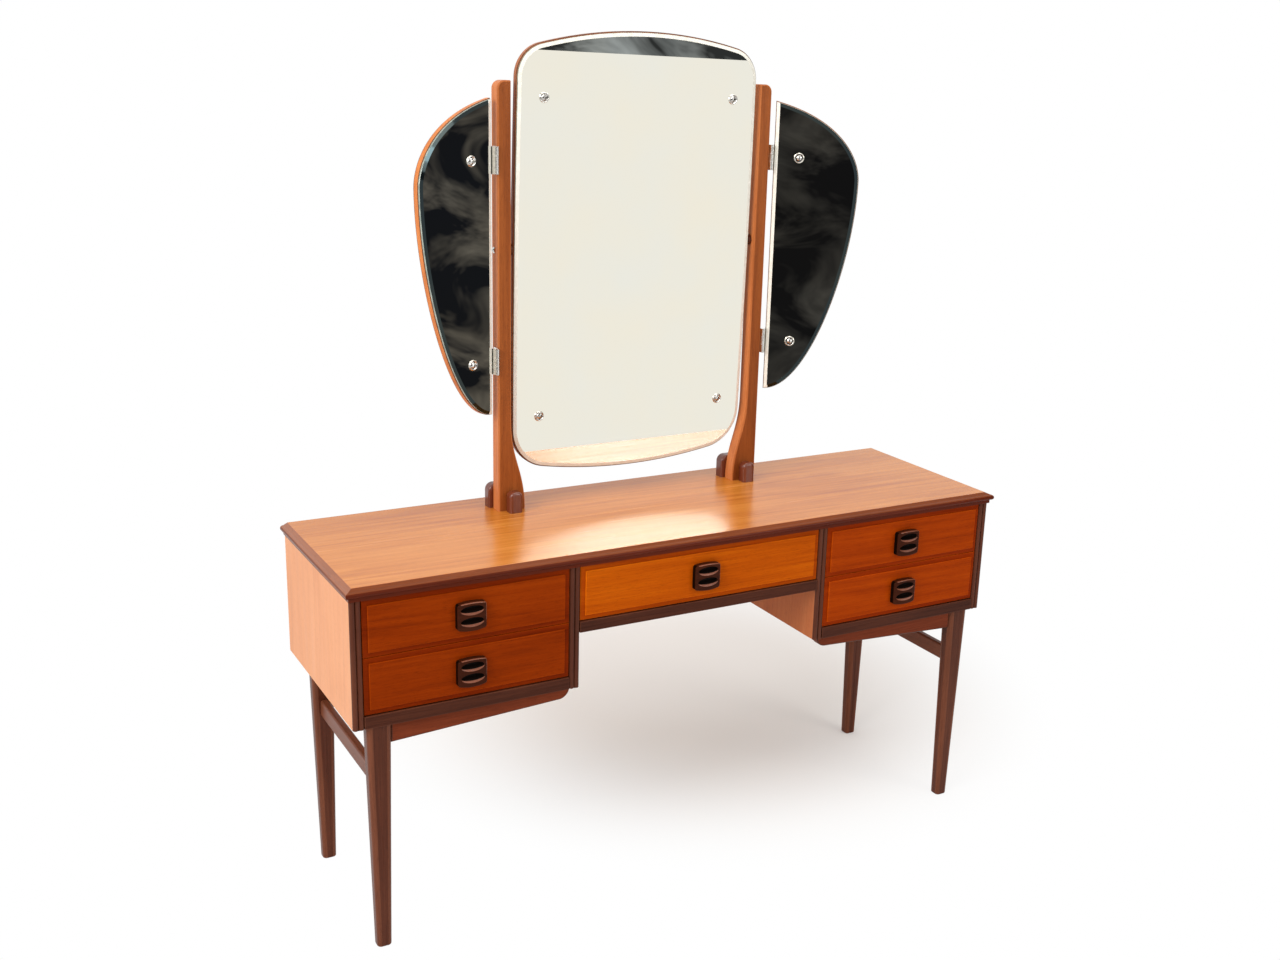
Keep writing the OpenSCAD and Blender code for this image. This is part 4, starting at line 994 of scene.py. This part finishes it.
def handlePiece(word, x, z):
    half, count, proud = handle["width"] / 2, handle["columns"], handle["proud"]
    bow = bowRadius(half, handle["bow"])
    columns = {s * (half - d) for s in (-1, 1) for d in edgeRows}
    columns |= {(half - handle["edge"]) * k / count for k in range(1 - count, count)}
    lipLow, lipHigh = handle["paintedHighlightLip"]
    body = bmesh.new()
    grid, tints = [], []
    for u in sorted(columns):
        crest = handle["height"] / 2 - (bow - math.sqrt(bow**2 - u * u))
        # past a scoop's end a sliver is left, so that its rows stay apart
        span = math.sqrt(max(1 - (u / handle["scoopHalf"]) ** 2, 0.0004))
        line, tint = [], []
        for v, share in handleLevels(crest, span):
            px, pz, rim = roundCorner(u, v, crest)
            sunk = 0 if share is None or span < 0.03 else handle["scoopDeep"] * scoopShare(share) * span**0.8
            inScoop = share is not None and span > 0.1
            # the rim's top and upper right and the scoops' lower lips get a painted highlight; the scoops' insides
            # get a painted shade
            paintedHighlightRim = rim < handle["paintedHighlightRim"] and v + handle["paintedHighlightLean"] * u > handle["paintedHighlightFrom"]
            paintedHighlightLip = inScoop and lipLow < share < lipHigh
            tint.append(1 if paintedHighlightRim or paintedHighlightLip else 2 if inScoop and -0.5 < share < 1 else 0)
            depth = min(handleFace(px, rim) + sunk, proud - handle["leastWall"])
            spot = (x + px, table["frontY"] - proud + depth, z + handle["lift"] + pz)
            line.append(body.verts.new(Vector(spot) * mm))
        grid.append(line)
        tints.append(tint)
    for a, b, tint in zip(grid, grid[1:], tints[1:]):
        for i in range(len(a) - 1):
            body.faces.new((a[i], a[i + 1], b[i + 1], b[i])).material_index = max(tint[i], tint[i + 1])
    border = [line[0] for line in grid] + grid[-1][1:] + [line[-1] for line in grid[-2::-1]] + grid[0][-2:0:-1]
    seat = [body.verts.new((v.co.x, table["frontY"] * mm, v.co.z)) for v in border]
    for i in range(len(border)):
        j = (i + 1) % len(border)
        wall = body.faces.new((border[i], border[j], seat[j], seat[i]))
        # the upper and lower walls keep the wood's tone, the two upright ones get the scoops' painted shade
        run = border[i].co - border[j].co
        wall.material_index = 0 if abs(run.z) < 0.4 * abs(run.x) else 2
    body.faces.new(seat)
    finishes = timber("handleWood", "handleWoodPaintedHighlight", "handleScoopPaintedShade")
    keepPiece("handle_" + word, body, finishes, "drawer_" + word, ["handle_" + word], sharp=48)


# the tones of each group of fronts, which hold painted light and shade: the left group darker, the middle brighter
frontTonesPaintedLight = {
    "left": ((156, 60, 3), (134, 46, 1), (98, 28, 1)),
    "middle": ((206, 102, 6), (182, 80, 3), (142, 54, 1)),
    "right": ((180, 72, 4), (157, 56, 2), (118, 36, 1)),
}
# how far the border and the arris shift each channel; the arris is partly rubbed wear, partly a painted highlight
frontParts = {"Veneer": (1, 1, 1, 1), "Border": (0.78, 0.64, 0.7, 1), "ArrisWearAndHighlight": (1.35, 1.5, 2.0, 1)}
fronts = {}
for key, tones in frontTonesPaintedLight.items():
    look = stained(frontLook, *tones)
    fronts[key] = []
    for part, shift in frontParts.items():
        shifted = {k: tuple(min(c * s, 1) for c, s in zip(look[k], shift)) for k in ("pale", "mid", "deep")}
        fronts[key].append(woodFinish(f"front{part}_{key}", {**look, **shifted}))

boxWood = timber("paleHardwood", "paleHardwood")
centres = {"left": -table["pedestalX"], "middle": 0, "right": table["pedestalX"]}
for word in drawers:
    key = word.split("_")[0]
    x = centres[key]
    openW = 2 * table["kneeHalf"] if key == "middle" else table["pedestalW"]
    z = front["lowerZ"] if word.endswith("lower") else front["upperZ"]
    frontPiece(word, x, openW, z, fronts[key])
    easedCopy("drawer_box_" + word, 0.7, boxWood, "drawer_" + word, "drawerBox_" + word)
    handlePiece(word, x, z + front["height"] / 2 - handle["drop"])
print("stage: drawers and handles")

# the floor, the white behind it and the lamps, in metres
floorLook = {
    "size": 60, "middle": (0.45, 0.6, 0), "near": 0.3, "far": 0.95, "least": 0.05, "paper": (0.92, 0.882, 0.855, 1),
}
skyLook = {"colour": (1.0, 0.985, 0.965, 1), "strength": 0.62}
lampLook = {"aim": (0, 0, 0.6), "colour": (1, 0.97, 0.93)}
lamps = {
    "keyLamp": {"spot": (-3.6, -1.3, 2.7), "size": (2.2, 2.2), "power": 108},
    "fillLamp": {"spot": (2.2, -3.6, 2.3), "size": (2.0, 1.4), "power": 28},
    "overLamp": {"spot": (0.1, -0.4, 3.4), "size": (2.4, 1.6), "power": 26},
}
# boards that only reflections see: three are painted dark reflections for the mirrors, the last glows to paint a
# sheen on the varnish
cards = {
    "cardRight": {
        "spot": (2.6, -1.15, 1.1), "aim": (0, -1.15, 1.1), "size": (2.9, 2.2), "strength": 1.0,
        "shades": ((0.008, 0.009, 0.012, 1), (0.19, 0.175, 0.155, 1)),
    },
    "cardLeft": {
        "spot": (-2.3, -3.1, 1.2), "aim": (0.45, -0.1, 1.2), "size": (3.4, 3.4), "strength": 1.0,
        "shades": ((0.007, 0.007, 0.008, 1), (0.06, 0.058, 0.056, 1)),
    },
    "cardHigh": {
        "spot": (2.387, -4.394, 1.588), "aim": (0, 0, 1.588), "size": (2.4, 0.5), "strength": 1.0,
        "shades": ((0.03, 0.033, 0.036, 1), (0.42, 0.46, 0.50, 1)),
    },
    "cardSheen": {
        "spot": (2.1, -3.35, 2.1), "aim": (0, 0.1, 0.9), "size": (1.1, 0.36), "strength": 11.0,
        "shades": ((0.86, 0.97, 1.0, 1), (0.86, 0.97, 1.0, 1)),
    },
}


def flatBoard(name, width, depth):
    body = bmesh.new()
    corners = ((-1, -1), (1, -1), (1, 1), (-1, 1))
    body.faces.new([body.verts.new((u * width / 2, v * depth / 2, 0)) for u, v in corners])
    mesh = bpy.data.meshes.new(name)
    body.to_mesh(mesh)
    body.free()
    board = bpy.data.objects.new(name, mesh)
    scene.collection.objects.link(board)
    return board


def aimAt(thing, spot, target, front):
    # front is the side of the thing that faces the target
    thing.location = spot
    thing.rotation_euler = (Vector(target) - Vector(spot)).to_track_quat(front, "Y").to_euler()


def raysOfKind(tree, first, *others):
    path = tree.nodes.new("ShaderNodeLightPath")
    seen = path.outputs[first]
    for kind in others:
        seen = sumNode(tree, "MAXIMUM", seen, path.outputs[kind])
    return seen


def blendShaders(tree, share, first, second, output):
    mix = tree.nodes.new("ShaderNodeMixShader")
    for socket, source in zip(mix.inputs, (share, first, second)):
        tree.links.new(source, socket)
    tree.links.new(mix.outputs[0], tree.nodes[output].inputs["Surface"])


def makeFloor():
    floor = flatBoard("floor", floorLook["size"], floorLook["size"])
    finish, tree, shader, place = newFinish("paper")
    shader.inputs["Roughness"].default_value = 0.9
    shader.inputs["Specular IOR Level"].default_value = 0.0
    shader.inputs["Base Color"].default_value = floorLook["paper"]
    glow = tree.nodes.new("ShaderNodeEmission")
    glow.inputs["Color"].default_value = (1, 1, 1, 1)
    glow.inputs["Strength"].default_value = 1.0
    away = tree.nodes.new("ShaderNodeVectorMath")
    away.operation = "DISTANCE"
    away.inputs[1].default_value = floorLook["middle"]
    tree.links.new(place, away.inputs[0])
    reach = (floorLook["near"], floorLook["far"], floorLook["least"], 1.0)
    white = rangeNode(tree, away.outputs["Value"], *reach, soft=True)
    share = sumNode(tree, "MULTIPLY", white, raysOfKind(tree, "Is Camera Ray", "Is Glossy Ray"))
    blendShaders(tree, share, shader.outputs[0], glow.outputs[0], "Material Output")
    floor.data.materials.append(finish)


def makeWorld():
    world = bpy.data.worlds.new("studio")
    world.use_nodes = True
    scene.world = world
    tree = world.node_tree
    sky = tree.nodes["Background"]
    sky.inputs["Color"].default_value = skyLook["colour"]
    sky.inputs["Strength"].default_value = skyLook["strength"]
    white = tree.nodes.new("ShaderNodeBackground")
    white.inputs["Color"].default_value = (1, 1, 1, 1)
    white.inputs["Strength"].default_value = 1.0
    seen = raysOfKind(tree, "Is Camera Ray", "Is Glossy Ray", "Is Transmission Ray")
    blendShaders(tree, seen, sky.outputs[0], white.outputs[0], "World Output")


def softbox(name, look):
    lamp = bpy.data.lights.new(name, "AREA")
    lamp.shape = "RECTANGLE"
    lamp.size, lamp.size_y = look["size"]
    lamp.energy = look["power"]
    lamp.color = lampLook["colour"]
    rig = bpy.data.objects.new(name, lamp)
    aimAt(rig, look["spot"], lampLook["aim"], "-Z")
    scene.collection.objects.link(rig)


def shadeCard(name, look):
    card = flatBoard(name, *look["size"])
    aimAt(card, look["spot"], look["aim"], "Z")
    finish, tree, _, place = newFinish(name)
    glow = tree.nodes.new("ShaderNodeEmission")
    glow.inputs["Strength"].default_value = look["strength"]
    share = rangeNode(tree, cloudNode(tree, place, (2.2, 3.4, 1), 4, 0.8), 0.42, 0.72)
    tree.links.new(blendNode(tree, share, *look["shades"]), glow.inputs["Color"])
    tree.links.new(glow.outputs[0], tree.nodes["Material Output"].inputs["Surface"])
    card.data.materials.append(finish)
    card.visible_camera = card.visible_diffuse = card.visible_transmission = card.visible_shadow = False


makeFloor()
makeWorld()
for name, look in lamps.items():
    softbox(name, look)
for name, look in cards.items():
    shadeCard(name, look)

# the camera's place in metres and its turns in degrees
view = {"place": (-1.3591, -2.3916, 1.5551), "turns": (73.810, -1.353, -28.481), "lens": 40.546, "sensor": 36}


def makeCamera():
    lens = bpy.data.cameras.new("camera")
    lens.lens = view["lens"]
    lens.sensor_fit = "HORIZONTAL"
    lens.sensor_width = view["sensor"]
    lens.clip_end = 100
    camera = bpy.data.objects.new("camera", lens)
    camera.location = view["place"]
    camera.rotation_euler = [math.radians(a) for a in view["turns"]]
    scene.collection.objects.link(camera)
    scene.camera = camera


makeCamera()
print("stage: floor, lamps and camera")
